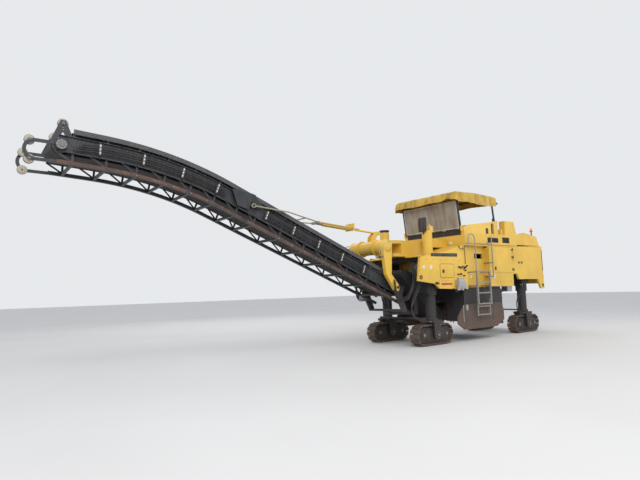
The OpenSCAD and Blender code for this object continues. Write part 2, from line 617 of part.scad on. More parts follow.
// Posts, struts and cross bars of one bay at s.
module bay(s, along) at_s(s) {
    both_sides() {
        translate([-20, conveyor_half - 75, -conveyor_depth + 60]) cube([40, 30, side_low + conveyor_depth - 58]);
        translate([-20, conveyor_half - 45, side_high - 6]) cube([40, 20, cover_low - side_high + 12]);
        bar([0, -conveyor_depth + 60], [along, side_low + 10], conveyor_half - 60, 24, 30);
    }
    translate([-25, -conveyor_half + 30, -conveyor_depth + 5]) cube([50, 2 * conveyor_half - 60, 50]);
    translate([0, -conveyor_half + 44, pulley_radius - 12 - gap - 50]) rotate([-90, 0, 0])
        cylinder(r = 50, h = 2 * conveyor_half - 88);
}
low_bays = 6;
up_bays = 6;
tail_s = -460;
module conveyor_lower() color(black) {
    straight(tail_s, fold_s - splice) side_sections();
    straight(500, fold_s - cover_gap) cover_section();
    for (i = [0:low_bays]) bay(250 + i * (fold_s - 500) / low_bays, i < low_bays ? (fold_s - 500) / low_bays * 0.5 : 180);
    at_s(tail_s + pulley_radius + 20) cross_pin(0, 0, -conveyor_half + 44, conveyor_half - 44, pulley_radius - 12 - gap);
    at_s(0) both_sides() {
        cross_pin(0, 0, conveyor_half - 45, leg_y + leg_thick + 25, lift_pin_r);
        cross_pin(0, 0, conveyor_half - 45, leg_y - 6, 90);
    }
    // Ears of the fold hinge and of the stays.
    at_s(fold_s) both_sides() {
        plate([[-300, 100], [-60, 40], [-20, 40], [-20, 120], [45, fold_v - 45], [45, fold_v + 45],
            [-45, fold_v + 45], [-300, side_high]], conveyor_half, 20);
        cross_pin(0, fold_v, conveyor_half, conveyor_half + 50, 25);
        cross_pin(-50, 70, conveyor_half, conveyor_half + 110, stay_pin_r);
    }
}
module belt_lower() color("#2b2a2a") {
    straight(tail_s + pulley_radius + 20, fold_s - splice) both_strands();
    at_s(tail_s + pulley_radius + 20) rotate([0, 180, 0]) belt_end();
}
module both_strands(slim = 0) for (v = [-pulley_radius, pulley_radius - 12])
    slim_rect(-belt_width / 2, belt_width / 2, v, v + 12, slim);
module belt_end() rotate([90, 0, 0]) linear_extrude(belt_width, center = true) intersection() {
    difference() {
        circle(pulley_radius);
        circle(pulley_radius - 12);
    }
    translate([0, -pulley_radius]) square([pulley_radius, 2 * pulley_radius]);
}
module conveyor_upper() color(black) {
    straight(fold_s + splice, bend_s + 5) side_sections(1);
    bent() side_sections();
    straight(tip_s - tip_length - 5, tip_s - 100) side_sections(1);
    straight(fold_s + cover_gap, bend_s + 5) cover_section(1);
    bent() cover_section();
    straight(tip_s - tip_length - 5, tip_s - 320) cover_section(1);
    for (i = [0:up_bays]) bay(fold_s + 250 + i * (tip_s - fold_s - 600) / up_bays, (tip_s - fold_s - 600) / up_bays * 0.5);
    at_s(tip_s - pulley_radius) cross_pin(0, 0, -conveyor_half + 44, conveyor_half - 44, pulley_radius - 12 - gap);
    at_s(fold_s) both_sides() {
        difference() {
            plate([[-45, fold_v - 30], [20, 150], [splice + 5, -60], [300, side_low + 20], [560, side_high],
                [45, fold_v + 45], [-45, fold_v + 45]], conveyor_half + 22, 20);
            cross_pin(0, fold_v, conveyor_half, conveyor_half + 50, 25 + gap);
        }
        box([60, conveyor_half - 45, 60], [300, conveyor_half + 23, 160]);
    }
    both_sides() {
        // Drive motors, then C hooks and A frames with guide rollers at the tip.
        at_s(tip_s - pulley_radius) cross_pin(0, 0, conveyor_half - 46, conveyor_half + 50, 95);
        translate([hook[0], conveyor_half - 30, hook[1]]) rotate([90, 0, 0]) linear_extrude(30) {
            difference() {
                translate([-460, 0]) half_stadium(460, hook_r);
                translate([-470, 0]) half_stadium(470, hook_r - 60);
            }
        }
        for (v = [-1, 1]) {
            cross_pin(hook[0] + 90, hook[1] + v * 172, conveyor_half - 110, conveyor_half - 61, 85);
            cross_pin(hook[0] + 90, hook[1] + v * 172, conveyor_half - 115, conveyor_half - 24, 15);
        }
        translate([cv_pt(tip_s)[0], conveyor_half - 30, cv_pt(tip_s)[1]]) rotate([90, 0, 0]) linear_extrude(24) difference() {
            polygon([[-400, 0], [-215, 470], [-130, 470], [60, 0], [-20, 0], [-172, 250], [-320, 0]]);
            translate([-172, 330]) rotate(90) stadium(50, 16);
        }
        cross_pin(cv_pt(tip_s)[0] - 172, cv_pt(tip_s)[1] + 413, conveyor_half - 110, conveyor_half - 61, 90);
        cross_pin(cv_pt(tip_s)[0] - 172, cv_pt(tip_s)[1] + 413, conveyor_half - 115, conveyor_half - 24, 18);
    }
}
module belt_upper() color("#2b2a2a") {
    straight(fold_s + splice, bend_s + 5) both_strands(1);
    bent() both_strands();
    straight(tip_s - tip_length - 5, tip_s - pulley_radius + 5) both_strands(1);
    at_s(tip_s - pulley_radius) belt_end();
}

stay_end = [cv_pt(fold_s - 50)[0] - 70 * sin(slope_low), cv_pt(fold_s - 50)[1] + 70 * cos(slope_low)];
pull = stay_end - post_pin;
pull_len = norm(pull);
pull_angle = atan2(pull[1], pull[0]);
module along_pull() translate([post_pin[0], 0, post_pin[1]]) rotate([0, -pull_angle, 0]) children();
barrel_0 = 1020;
barrel_1 = 2050;
module lift_barrel() color(yellow) along_pull() {
    cross_pin(0, 0, -95, 95, 22);
    difference() {
        union() {
            rotate([0, 90, 0]) translate([0, 0, 20]) cylinder(r = 28, h = barrel_0 - 20);
            cross_pin(0, 0, -45, 45, 40);
            translate([barrel_0, 0, 0]) rotate([0, 90, 0]) cylinder(r = 60, h = barrel_1 - barrel_0);
            translate([barrel_0, -170, -60]) cube([40, 340, 200]);
        }
        translate([barrel_0 + 100, 0, 0]) rotate([0, 90, 0]) cylinder(r = 30 + gap, h = barrel_1);
        for (y = [-135, 135]) translate([barrel_0 - 10, y, 0]) rotate([0, 90, 0]) cylinder(r = 20, h = 60);
        translate([barrel_0 - 10, 0, 110]) rotate([0, 90, 0]) cylinder(r = 20, h = 60);
    }
}
cross_x = 2230;
spread_x = 2840;
wide_at = 135 + (conveyor_half - 60) * (spread_x - cross_x - 18) / (pull_len - 990 - cross_x);
module lift_stays() color("#9a8f7a") along_pull() {
    rotate([0, 90, 0]) translate([0, 0, barrel_0 + 450]) cylinder(r = 30, h = cross_x - barrel_0 - 450);
    translate([cross_x, -160, -30]) cube([60, 320, 60]);
    // The bar that spreads them, where they are wide_at apart.
    translate([spread_x, -wide_at, -12]) cube([24, 2 * wide_at, 24]);
    both_sides() {
        rod([barrel_0 - 200, 135, 0], [cross_x + 10, 135, 0], 14);
        rod([cross_x + 30, 135, 0], [pull_len - 960, conveyor_half + 75, 0], 16);
        rod([pull_len - 962, conveyor_half + 75, 0], [pull_len - 40, conveyor_half + 75, 0], 17);
        difference() {
            cross_pin(pull_len, 0, conveyor_half + 45, conveyor_half + 105, stay_eye_r + 16);
            cross_pin(pull_len, 0, conveyor_half + 40, conveyor_half + 110, stay_eye_r);
        }
    }
}

post_lean = 8;
front_post = [1190, 3500];
rear_post = [-950, 3500];
front_post_y = wall_half - 115;
rear_post_y = wall_half - 245;
post_len = 930;
post_pin_r = 18;
// A post with its foot pin and its top pin, which both point outwards.
module canopy_post(foot, y0) translate([foot[0], y0, foot[1]]) rotate([0, post_lean, 0]) {
    translate([-25, 0, 0]) cube([50, 40, post_len]);
    for (z = [0, post_len]) cross_pin(0, z, 0, 40, 35);
    cross_pin(0, 0, 39, 80, post_pin_r);
    cross_pin(0, post_len, 39, rail_y - y0 + 40, post_pin_r);
}
module canopy_front_posts() color(black) both_sides() canopy_post(front_post, front_post_y);
module canopy_rear_posts() color(black) both_sides() canopy_post(rear_post, rear_post_y);
// The windscreen stands between the front posts, in their leaning plane, and stays when they swing back.
screen_half = front_post_y - 8;
screen_top = 830;
module in_screen_plane() translate([front_post[0] - 6, 0, front_post[1]]) rotate([0, post_lean, 0]) children();
module screen_frame() color(black) {
    in_screen_plane() {
        for (z = [-40, screen_top - 40]) box([-20, -screen_half, z], [20, screen_half, z + 40]);
        both_sides() box([-20, screen_half - 40, -60], [20, screen_half, screen_top]);
    }
    both_sides() box([1150 + gap, screen_half - 35, front_post[1] - 75], [front_post[0] - 12, screen_half - 5, front_post[1] - 45]);
}
module windscreen() color("#a59a86") in_screen_plane()
    box([20 + gap, -screen_half, -30], [28, screen_half, screen_top - 5]);
rail_y = front_post_y + 40 + gap;
roof_pivot_z = front_post[1] + post_len * cos(post_lean);
top_dx = post_len * sin(post_lean);
module canopy_roof() color(yellow) {
    roof_shell();
    both_sides() difference() {
        union() {
            box([rear_post[0] + top_dx - 60, rail_y, roof_pivot_z - 30], [front_post[0] + top_dx + 60, rail_y + 44, roof_pivot_z + 30]);
            for (x = roof_ties) box([x, rail_y, roof_pivot_z], [x + 40, rail_y + 44, roof_low + 195]);
        }
        for (x = [front_post[0], rear_post[0]])
            cross_pin(x + top_dx, roof_pivot_z, rail_y - 10, rail_y + 60, post_pin_r + gap);
    }
    for (x = roof_ties) box([x, 310 - roof_half, roof_low + roof_rise - 70], [x + 40, roof_half - 310, roof_low + roof_rise - 29]);
}
roof_ties = [-580, 445, 1470];
roof_mid = 465;
module roof_shell() difference() {
    translate([roof_mid, 0, 0]) rotate([90, 0, 90]) linear_extrude(roof_length, center = true)
        polygon([[-roof_half, roof_low], [-roof_half, roof_low + 180], [-roof_half + 300, roof_low + roof_rise],
            [roof_half - 300, roof_low + roof_rise], [roof_half, roof_low + 180], [roof_half, roof_low]]);
    translate([roof_mid, 0, 0]) rotate([90, 0, 90]) linear_extrude(roof_length - 60, center = true)
        polygon([[-roof_half + 30, roof_low - 1], [-roof_half + 30, roof_low + 160], [-roof_half + 310, roof_low + roof_rise - 30],
            [roof_half - 310, roof_low + roof_rise - 30], [roof_half - 30, roof_low + 160], [roof_half - 30, roof_low - 1]]);
}

in_place() main_frame();
in_place() nose_beam();
in_place() front_hood();
in_place() column_towers();
in_place() front_side_left();
in_place() front_side_right();
in_place() rear_side_left();
in_place() rear_side_right();
in_place() rear_wall();
in_place() engine_block();
in_place() platform();
in_place() operator_station();
in_place() ladder_left();
in_place() ladder_right();
in_place() drum_housing();
in_place() loading_conveyor();
in_place() leg_at(1, 1);  // leg_front_left
in_place() leg_at(1, -1);  // leg_front_right
in_place() leg_at(-1, 1);  // leg_rear_left
in_place() leg_at(-1, -1);  // leg_rear_right
in_place() track_at(1, 1);  // track_front_left
in_place() track_at(1, -1);  // track_front_right
in_place() track_at(-1, 1);  // track_rear_left
in_place() track_at(-1, -1);  // track_rear_right
in_place() tie_rod(1);  // tie_rod_front
in_place() tie_rod(-1);  // tie_rod_rear
in_place() milling_drum();
in_place() side_plate_left();
in_place() side_plate_right();
in_place() scraper_gate();
in_place() steps_left();
in_place() steps_right();
in_place() engine_hood();
in_place() service_door_left();
in_place() service_door_right();
in_place() conveyor_portal();
in_place() conveyor_lower();
in_place() belt_lower();
in_place() conveyor_upper();
in_place() belt_upper();
in_place() lift_barrel();
in_place() lift_stays();
in_place() canopy_front_posts();
in_place() screen_frame();
in_place() tower_fittings();
in_place() portal_carrier();
in_place() filter_unit();
in_place() battery_box();
in_place() windscreen();
in_place() canopy_rear_posts();
in_place() canopy_roof();
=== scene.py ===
import math

import bmesh
import bpy
from mathutils import Matrix, Vector, noise


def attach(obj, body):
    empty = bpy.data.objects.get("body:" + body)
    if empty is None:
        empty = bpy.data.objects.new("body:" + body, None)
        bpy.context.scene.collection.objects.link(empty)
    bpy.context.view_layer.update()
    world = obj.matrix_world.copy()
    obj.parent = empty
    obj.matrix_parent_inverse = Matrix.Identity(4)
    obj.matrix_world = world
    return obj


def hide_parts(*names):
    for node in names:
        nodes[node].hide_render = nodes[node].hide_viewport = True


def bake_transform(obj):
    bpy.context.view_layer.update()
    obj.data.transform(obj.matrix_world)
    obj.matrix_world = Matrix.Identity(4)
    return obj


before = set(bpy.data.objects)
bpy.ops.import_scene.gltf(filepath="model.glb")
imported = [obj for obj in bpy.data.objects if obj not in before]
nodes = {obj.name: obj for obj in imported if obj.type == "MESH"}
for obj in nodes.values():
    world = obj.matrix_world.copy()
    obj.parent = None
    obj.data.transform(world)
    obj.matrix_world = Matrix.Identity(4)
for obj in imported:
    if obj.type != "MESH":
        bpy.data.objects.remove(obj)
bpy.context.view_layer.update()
middle = 4.66522  # the machine's X, 0 midway between the crawlers, less this is the row's X


def at(x, y, z):
    return Vector((x - middle, y, z))


def placed(name, data):
    thing = bpy.data.objects.new(name, data)
    bpy.context.collection.objects.link(thing)
    return thing


print("camera, floor and light")
shot = {"x": 13.736, "y": 10.029, "z": 1.676, "yaw": -2.2348, "pitch": 0.1042, "roll": -0.027, "lens": 26.83,
        "sensor": 36, "farthest": 200}
studio = {"floorSize": 160, "floorDark": (0.60, 0.59, 0.57, 1), "floorPale": (0.68, 0.67, 0.65, 1),
          "floorRough": 0.9, "floorGrain": 0.35, "sky": (0.90, 0.93, 1.0, 1), "skyStrength": 0.85,
          "backdrop": (0.84, 0.86, 0.88, 1), "backdropStrength": 0.95, "aim": (-1, 0, 2),
          "lamps": (("keyLight", (9, 12, 13), 1500, 9), ("fillLight", (-10, 9, 9), 350, 10),
                    ("backLight", (-4, -14, 11), 450, 10))}


def placeCamera():
    data = bpy.data.cameras.new("photoView")
    data.lens = shot["lens"]
    data.sensor_width = shot["sensor"]
    data.clip_end = shot["farthest"]
    camera = placed("photoView", data)
    yaw, pitch, roll = shot["yaw"], shot["pitch"], shot["roll"]
    ahead = Vector((math.cos(yaw), math.sin(yaw), 0))
    right = Vector((math.sin(yaw), -math.cos(yaw), 0))
    up = Vector((0, 0, 1))
    look = ahead * math.cos(pitch) + up * math.sin(pitch)
    top = up * math.cos(pitch) - ahead * math.sin(pitch)
    side = right * math.cos(roll) + top * math.sin(roll)
    crown = top * math.cos(roll) - right * math.sin(roll)
    turn = Matrix((side, crown, -look)).transposed().to_4x4()
    camera.matrix_world = Matrix.Translation(at(shot["x"], shot["y"], shot["z"])) @ turn
    bpy.context.scene.camera = camera


def wire(tree, *pairs):
    for a, b in pairs:
        tree.links.new(a, b)


def add(tree, kind, **values):
    node = tree.nodes.new(kind)
    for key, value in values.items():
        if key in node.inputs:
            node.inputs[key].default_value = value
        else:
            setattr(node, key, value)
    return node


def placeFloor():
    bpy.ops.mesh.primitive_plane_add(size=studio["floorSize"])
    floor = bpy.context.object
    floor.name = "floor"
    ground = bpy.data.materials.new("paleFloor")
    ground.use_nodes = True
    tree = ground.node_tree
    base = tree.nodes["Principled BSDF"]
    base.inputs["Roughness"].default_value = studio["floorRough"]
    grain = add(tree, "ShaderNodeTexNoise", Scale=studio["floorGrain"], Detail=5.0)
    tint = add(tree, "ShaderNodeMix", data_type="RGBA", A=studio["floorDark"], B=studio["floorPale"])
    spot = add(tree, "ShaderNodeTexCoord")
    wire(tree, (spot.outputs["Object"], grain.inputs["Vector"]), (grain.outputs["Fac"], tint.inputs["Factor"]),
         (tint.outputs["Result"], base.inputs["Base Color"]))
    floor.data.materials.append(ground)


def placeLight():
    world = bpy.context.scene.world or bpy.data.worlds.new("studio")
    bpy.context.scene.world = world
    world.use_nodes = True
    tree = world.node_tree
    tree.nodes.clear()
    out = add(tree, "ShaderNodeOutputWorld")
    light = add(tree, "ShaderNodeBackground", Color=studio["sky"], Strength=studio["skyStrength"])
    seen = add(tree, "ShaderNodeBackground", Color=studio["backdrop"], Strength=studio["backdropStrength"])
    path = add(tree, "ShaderNodeLightPath")
    glossy = add(tree, "ShaderNodeMath", operation="MAXIMUM")
    through = add(tree, "ShaderNodeMath", operation="MAXIMUM")
    blend = add(tree, "ShaderNodeMixShader")
    wire(tree, (path.outputs["Is Camera Ray"], glossy.inputs[0]), (path.outputs["Is Glossy Ray"], glossy.inputs[1]),
         (glossy.outputs[0], through.inputs[0]), (path.outputs["Is Transmission Ray"], through.inputs[1]),
         (through.outputs[0], blend.inputs[0]), (light.outputs[0], blend.inputs[1]), (seen.outputs[0], blend.inputs[2]),
         (blend.outputs[0], out.inputs["Surface"]))
    for name, spot, power, size in studio["lamps"]:
        lamp = bpy.data.lights.new(name, "AREA")
        lamp.energy = power
        lamp.size = size
        holder = placed(name, lamp)
        holder.location = spot
        holder.rotation_euler = (Vector(studio["aim"]) - Vector(spot)).to_track_quat("-Z", "Y").to_euler()
    bpy.context.scene.view_settings.view_transform = "Standard"


placeCamera()
placeFloor()
placeLight()

print("finishes")
siteDust = {"toneScale": 1.1, "patchScale": 4.0, "speckScale": 70.0, "streakScale": (11, 11, 0.9),
            "lying": (0.35, 0.95), "soilReach": (1.9, 0.5), "soilEdge": 0.8, "streaked": (0.5, 0.72),
            "patchy": (0.35, 0.75), "grainy": (0.2, 0.6), "most": 0.92,
            "shades": (0.3, 0.7), "dark": (0.82, 0.82, 0.80, 1), "pale": (1.04, 1.03, 1.0, 1)}
edgeWear = {"radius": 0.012, "samples": 3, "sharpness": (0.985, 0.86), "chipScale": 26.0, "chips": (0.47, 0.58)}
fineGrain = {"wideScale": 2.2, "wideShare": 1.6, "rough": (0.2, 0.8)}
clothWeave = {"distortion": 0.6, "toneScale": 3.0, "stainScale": (7, 7, 1.2), "stains": (0.45, 0.75), "fade": 0.35}


def group(name, inputs, outputs):
    tree = bpy.data.node_groups.new(name, "ShaderNodeTree")
    for label, kind, value in inputs:
        socket = tree.interface.new_socket(label, in_out="INPUT", socket_type="NodeSocket" + kind)
        if value is not None:
            socket.default_value = value
    for label, kind in outputs:
        tree.interface.new_socket(label, in_out="OUTPUT", socket_type="NodeSocket" + kind)
    return tree, tree.nodes.new("NodeGroupInput"), tree.nodes.new("NodeGroupOutput")


def feed(tree, value, socket):
    if isinstance(value, (int, float, tuple)):
        socket.default_value = value
    else:
        tree.links.new(value, socket)


def combined(tree, kind, a, b, clamp=False):
    node = add(tree, "ShaderNodeMath", operation=kind, use_clamp=clamp)
    feed(tree, a, node.inputs[0])
    feed(tree, b, node.inputs[1])
    return node.outputs[0]


def times(tree, a, b, clamp=False):
    return combined(tree, "MULTIPLY", a, b, clamp)


def ramped(tree, value, low, high):
    node = add(tree, "ShaderNodeMapRange", **{"From Min": low, "From Max": high})
    tree.links.new(value, node.inputs["Value"])
    return node.outputs[0]


def mixed(tree, factor, a, b, kind="MIX"):
    node = add(tree, "ShaderNodeMix", data_type="RGBA", blend_type=kind)
    for name, value in (("Factor", factor), ("A", a), ("B", b)):
        feed(tree, value, node.inputs[name])
    return node.outputs["Result"]


def noiseOn(tree, vector, scale, detail, stretch=None):
    if stretch:
        pull = add(tree, "ShaderNodeMapping", Scale=stretch)
        tree.links.new(vector, pull.inputs["Vector"])
        vector = pull.outputs[0]
    node = add(tree, "ShaderNodeTexNoise", Scale=scale, Detail=detail)
    tree.links.new(vector, node.inputs["Vector"])
    return node.outputs["Fac"]


def dustGroup():
    tree, given, out = group("siteDust", [("Vector", "Vector", None), ("Paint", "Color", None), ("Dust", "Color", None),
                                          ("Amount", "Float", 0.4), ("Soil", "Float", 0.5), ("Streaks", "Float", 0.3)],
                             [("Color", "Color"), ("Mask", "Float")])
    v = given.outputs["Vector"]
    tone = noiseOn(tree, v, siteDust["toneScale"], 5)
    patch = noiseOn(tree, v, siteDust["patchScale"], 6)
    speck = noiseOn(tree, v, siteDust["speckScale"], 3)
    streak = noiseOn(tree, v, 1.0, 5, siteDust["streakScale"])
    surface = add(tree, "ShaderNodeNewGeometry")
    slope = add(tree, "ShaderNodeSeparateXYZ")
    place = add(tree, "ShaderNodeSeparateXYZ")
    wire(tree, (surface.outputs["Normal"], slope.inputs[0]), (v, place.inputs[0]))
    lying = ramped(tree, slope.outputs["Z"], *siteDust["lying"])
    height = combined(tree, "ADD", place.outputs["Z"], times(tree, patch, siteDust["soilEdge"]))
    low = ramped(tree, height, *siteDust["soilReach"])
    streaked = times(tree, ramped(tree, streak, *siteDust["streaked"]), given.outputs["Streaks"])
    patchy = combined(tree, "ADD", ramped(tree, patch, *siteDust["patchy"]), lying)
    dusty = times(tree, patchy, given.outputs["Amount"])
    soil = times(tree, low, given.outputs["Soil"])
    total = combined(tree, "ADD", combined(tree, "ADD", dusty, soil), streaked)
    grainy = times(tree, total, ramped(tree, speck, *siteDust["grainy"]))
    mask = combined(tree, "MINIMUM", grainy, siteDust["most"], clamp=True)
    shade = mixed(tree, ramped(tree, tone, *siteDust["shades"]), siteDust["dark"], siteDust["pale"])
    paint = mixed(tree, 1.0, given.outputs["Paint"], shade, "MULTIPLY")
    wire(tree, (mixed(tree, mask, paint, given.outputs["Dust"]), out.inputs["Color"]), (mask, out.inputs["Mask"]))
    return tree


def edgeGroup():
    tree, given, out = group("edgeWear", [("Vector", "Vector", None), ("Amount", "Float", 0.5)], [("Mask", "Float")])
    softened = add(tree, "ShaderNodeBevel", Radius=edgeWear["radius"], samples=edgeWear["samples"])
    surface = add(tree, "ShaderNodeNewGeometry")
    agree = add(tree, "ShaderNodeVectorMath", operation="DOT_PRODUCT")
    wire(tree, (softened.outputs[0], agree.inputs[0]), (surface.outputs["Normal"], agree.inputs[1]))
    edge = ramped(tree, agree.outputs["Value"], *edgeWear["sharpness"])
    chips = ramped(tree, noiseOn(tree, given.outputs["Vector"], edgeWear["chipScale"], 5), *edgeWear["chips"])
    mask = times(tree, times(tree, edge, chips), given.outputs["Amount"], clamp=True)
    wire(tree, (mask, out.inputs["Mask"]))
    return tree


def grainGroup():
    tree, given, out = group("fineGrain", [("Vector", "Vector", None), ("Scale", "Float", 90.0)],
                             [("Height", "Float"), ("Rough", "Float")])
    fine = add(tree, "ShaderNodeTexNoise", Detail=4.0)
    wide = noiseOn(tree, given.outputs["Vector"], fineGrain["wideScale"], 3)
    wire(tree, (given.outputs["Vector"], fine.inputs["Vector"]), (given.outputs["Scale"], fine.inputs["Scale"]))
    height = combined(tree, "ADD", fine.outputs["Fac"], times(tree, wide, fineGrain["wideShare"]))
    rough = ramped(tree, fine.outputs["Fac"], *fineGrain["rough"])
    wire(tree, (height, out.inputs["Height"]), (rough, out.inputs["Rough"]))
    return tree


def weaveGroup():
    tree, given, out = group("clothWeave", [("Vector", "Vector", None), ("Threads", "Float", 300.0)],
                             [("Height", "Float"), ("Tone", "Float")])
    lines = []
    for turn in ("X", "Y"):
        wave = add(tree, "ShaderNodeTexWave", bands_direction=turn, Distortion=clothWeave["distortion"])
        wire(tree, (given.outputs["Vector"], wave.inputs["Vector"]), (given.outputs["Threads"], wave.inputs["Scale"]))
        lines.append(wave.outputs["Fac"])
    tone = noiseOn(tree, given.outputs["Vector"], clothWeave["toneScale"], 6)
    wire(tree, (combined(tree, "MAXIMUM", *lines), out.inputs["Height"]), (tone, out.inputs["Tone"]))
    return tree


dustTree, edgeTree, grainTree, weaveTree = dustGroup(), edgeGroup(), grainGroup(), weaveGroup()
siteSoil = (0.37, 0.13, 0.065)
paleDust = (0.46, 0.36, 0.25)


def finish(name, paint, tint=paleDust, dust=0.25, soil=0.5, streaks=0.25, wear=0.5, bare=(0.2, 0.18, 0.16), rough=0.38,
           metal=0.0, grain=110.0, bump=0.12, coat=0.0):
    material = bpy.data.materials.new(name)
    material.use_nodes = True
    tree = material.node_tree
    base = tree.nodes["Principled BSDF"]
    spot = add(tree, "ShaderNodeTexCoord").outputs["Object"]
    dirt = add(tree, "ShaderNodeGroup", node_tree=dustTree, Paint=(*paint, 1), Dust=(*tint, 1), Amount=dust, Soil=soil,
               Streaks=streaks)
    fine = add(tree, "ShaderNodeGroup", node_tree=grainTree, Scale=grain)
    wire(tree, (spot, dirt.inputs["Vector"]), (spot, fine.inputs["Vector"]))
    color = dirt.outputs["Color"]
    if wear:
        worn = add(tree, "ShaderNodeGroup", node_tree=edgeTree, Amount=wear)
        wire(tree, (spot, worn.inputs["Vector"]))
        color = mixed(tree, worn.outputs["Mask"], color, (*bare, 1))
    uneven = combined(tree, "ADD", times(tree, fine.outputs["Rough"], 0.14), rough)
    roughness = combined(tree, "ADD", times(tree, dirt.outputs["Mask"], 0.45), uneven, clamp=True)
    bumps = add(tree, "ShaderNodeBump", Strength=bump, Distance=0.004)
    base.inputs["Metallic"].default_value = metal
    base.inputs["Coat Weight"].default_value = coat
    wire(tree, (color, base.inputs["Base Color"]), (roughness, base.inputs["Roughness"]),
         (fine.outputs["Height"], bumps.inputs["Height"]), (bumps.outputs[0], base.inputs["Normal"]))
    return material


def clothFinish(name, light, dark, threads, rough, dust=0.3):
    material = finish(name, light, dust=dust, wear=0, rough=rough, bump=0.1, soil=0.0)
    tree = material.node_tree
    base = tree.nodes["Principled BSDF"]
    cloth = add(tree, "ShaderNodeGroup", node_tree=weaveTree, Threads=threads)
    spot = add(tree, "ShaderNodeTexCoord").outputs["Object"]
    bumps = add(tree, "ShaderNodeBump", Strength=0.25, Distance=0.001)
    before = base.inputs["Base Color"].links[0].from_socket
    stains = ramped(tree, noiseOn(tree, spot, 1.0, 6, clothWeave["stainScale"]), *clothWeave["stains"])
    stained = mixed(tree, stains, before, (*dark, 1))
    old = base.inputs["Normal"].links[0].from_node
    faded = times(tree, ramped(tree, cloth.outputs["Tone"], 0.4, 0.7), clothWeave["fade"])
    wire(tree, (spot, cloth.inputs["Vector"]), (cloth.outputs["Height"], bumps.inputs["Height"]),
         (old.outputs[0], bumps.inputs["Normal"]), (bumps.outputs[0], base.inputs["Normal"]),
         (mixed(tree, faded, stained, (*dark, 1)), base.inputs["Base Color"]))
    return material


def lensFinish(name, tint, glow=0.0, rough=0.12):
    material = finish(name, tint, dust=0.1, soil=0.1, streaks=0.1, wear=0, rough=rough, bump=0.05, coat=0.6)
    base = material.node_tree.nodes["Principled BSDF"]
    base.inputs["Transmission Weight"].default_value = 0.3
    base.inputs["Emission Strength"].default_value = glow
    base.inputs["Emission Color"].default_value = (*tint, 1)
    return material


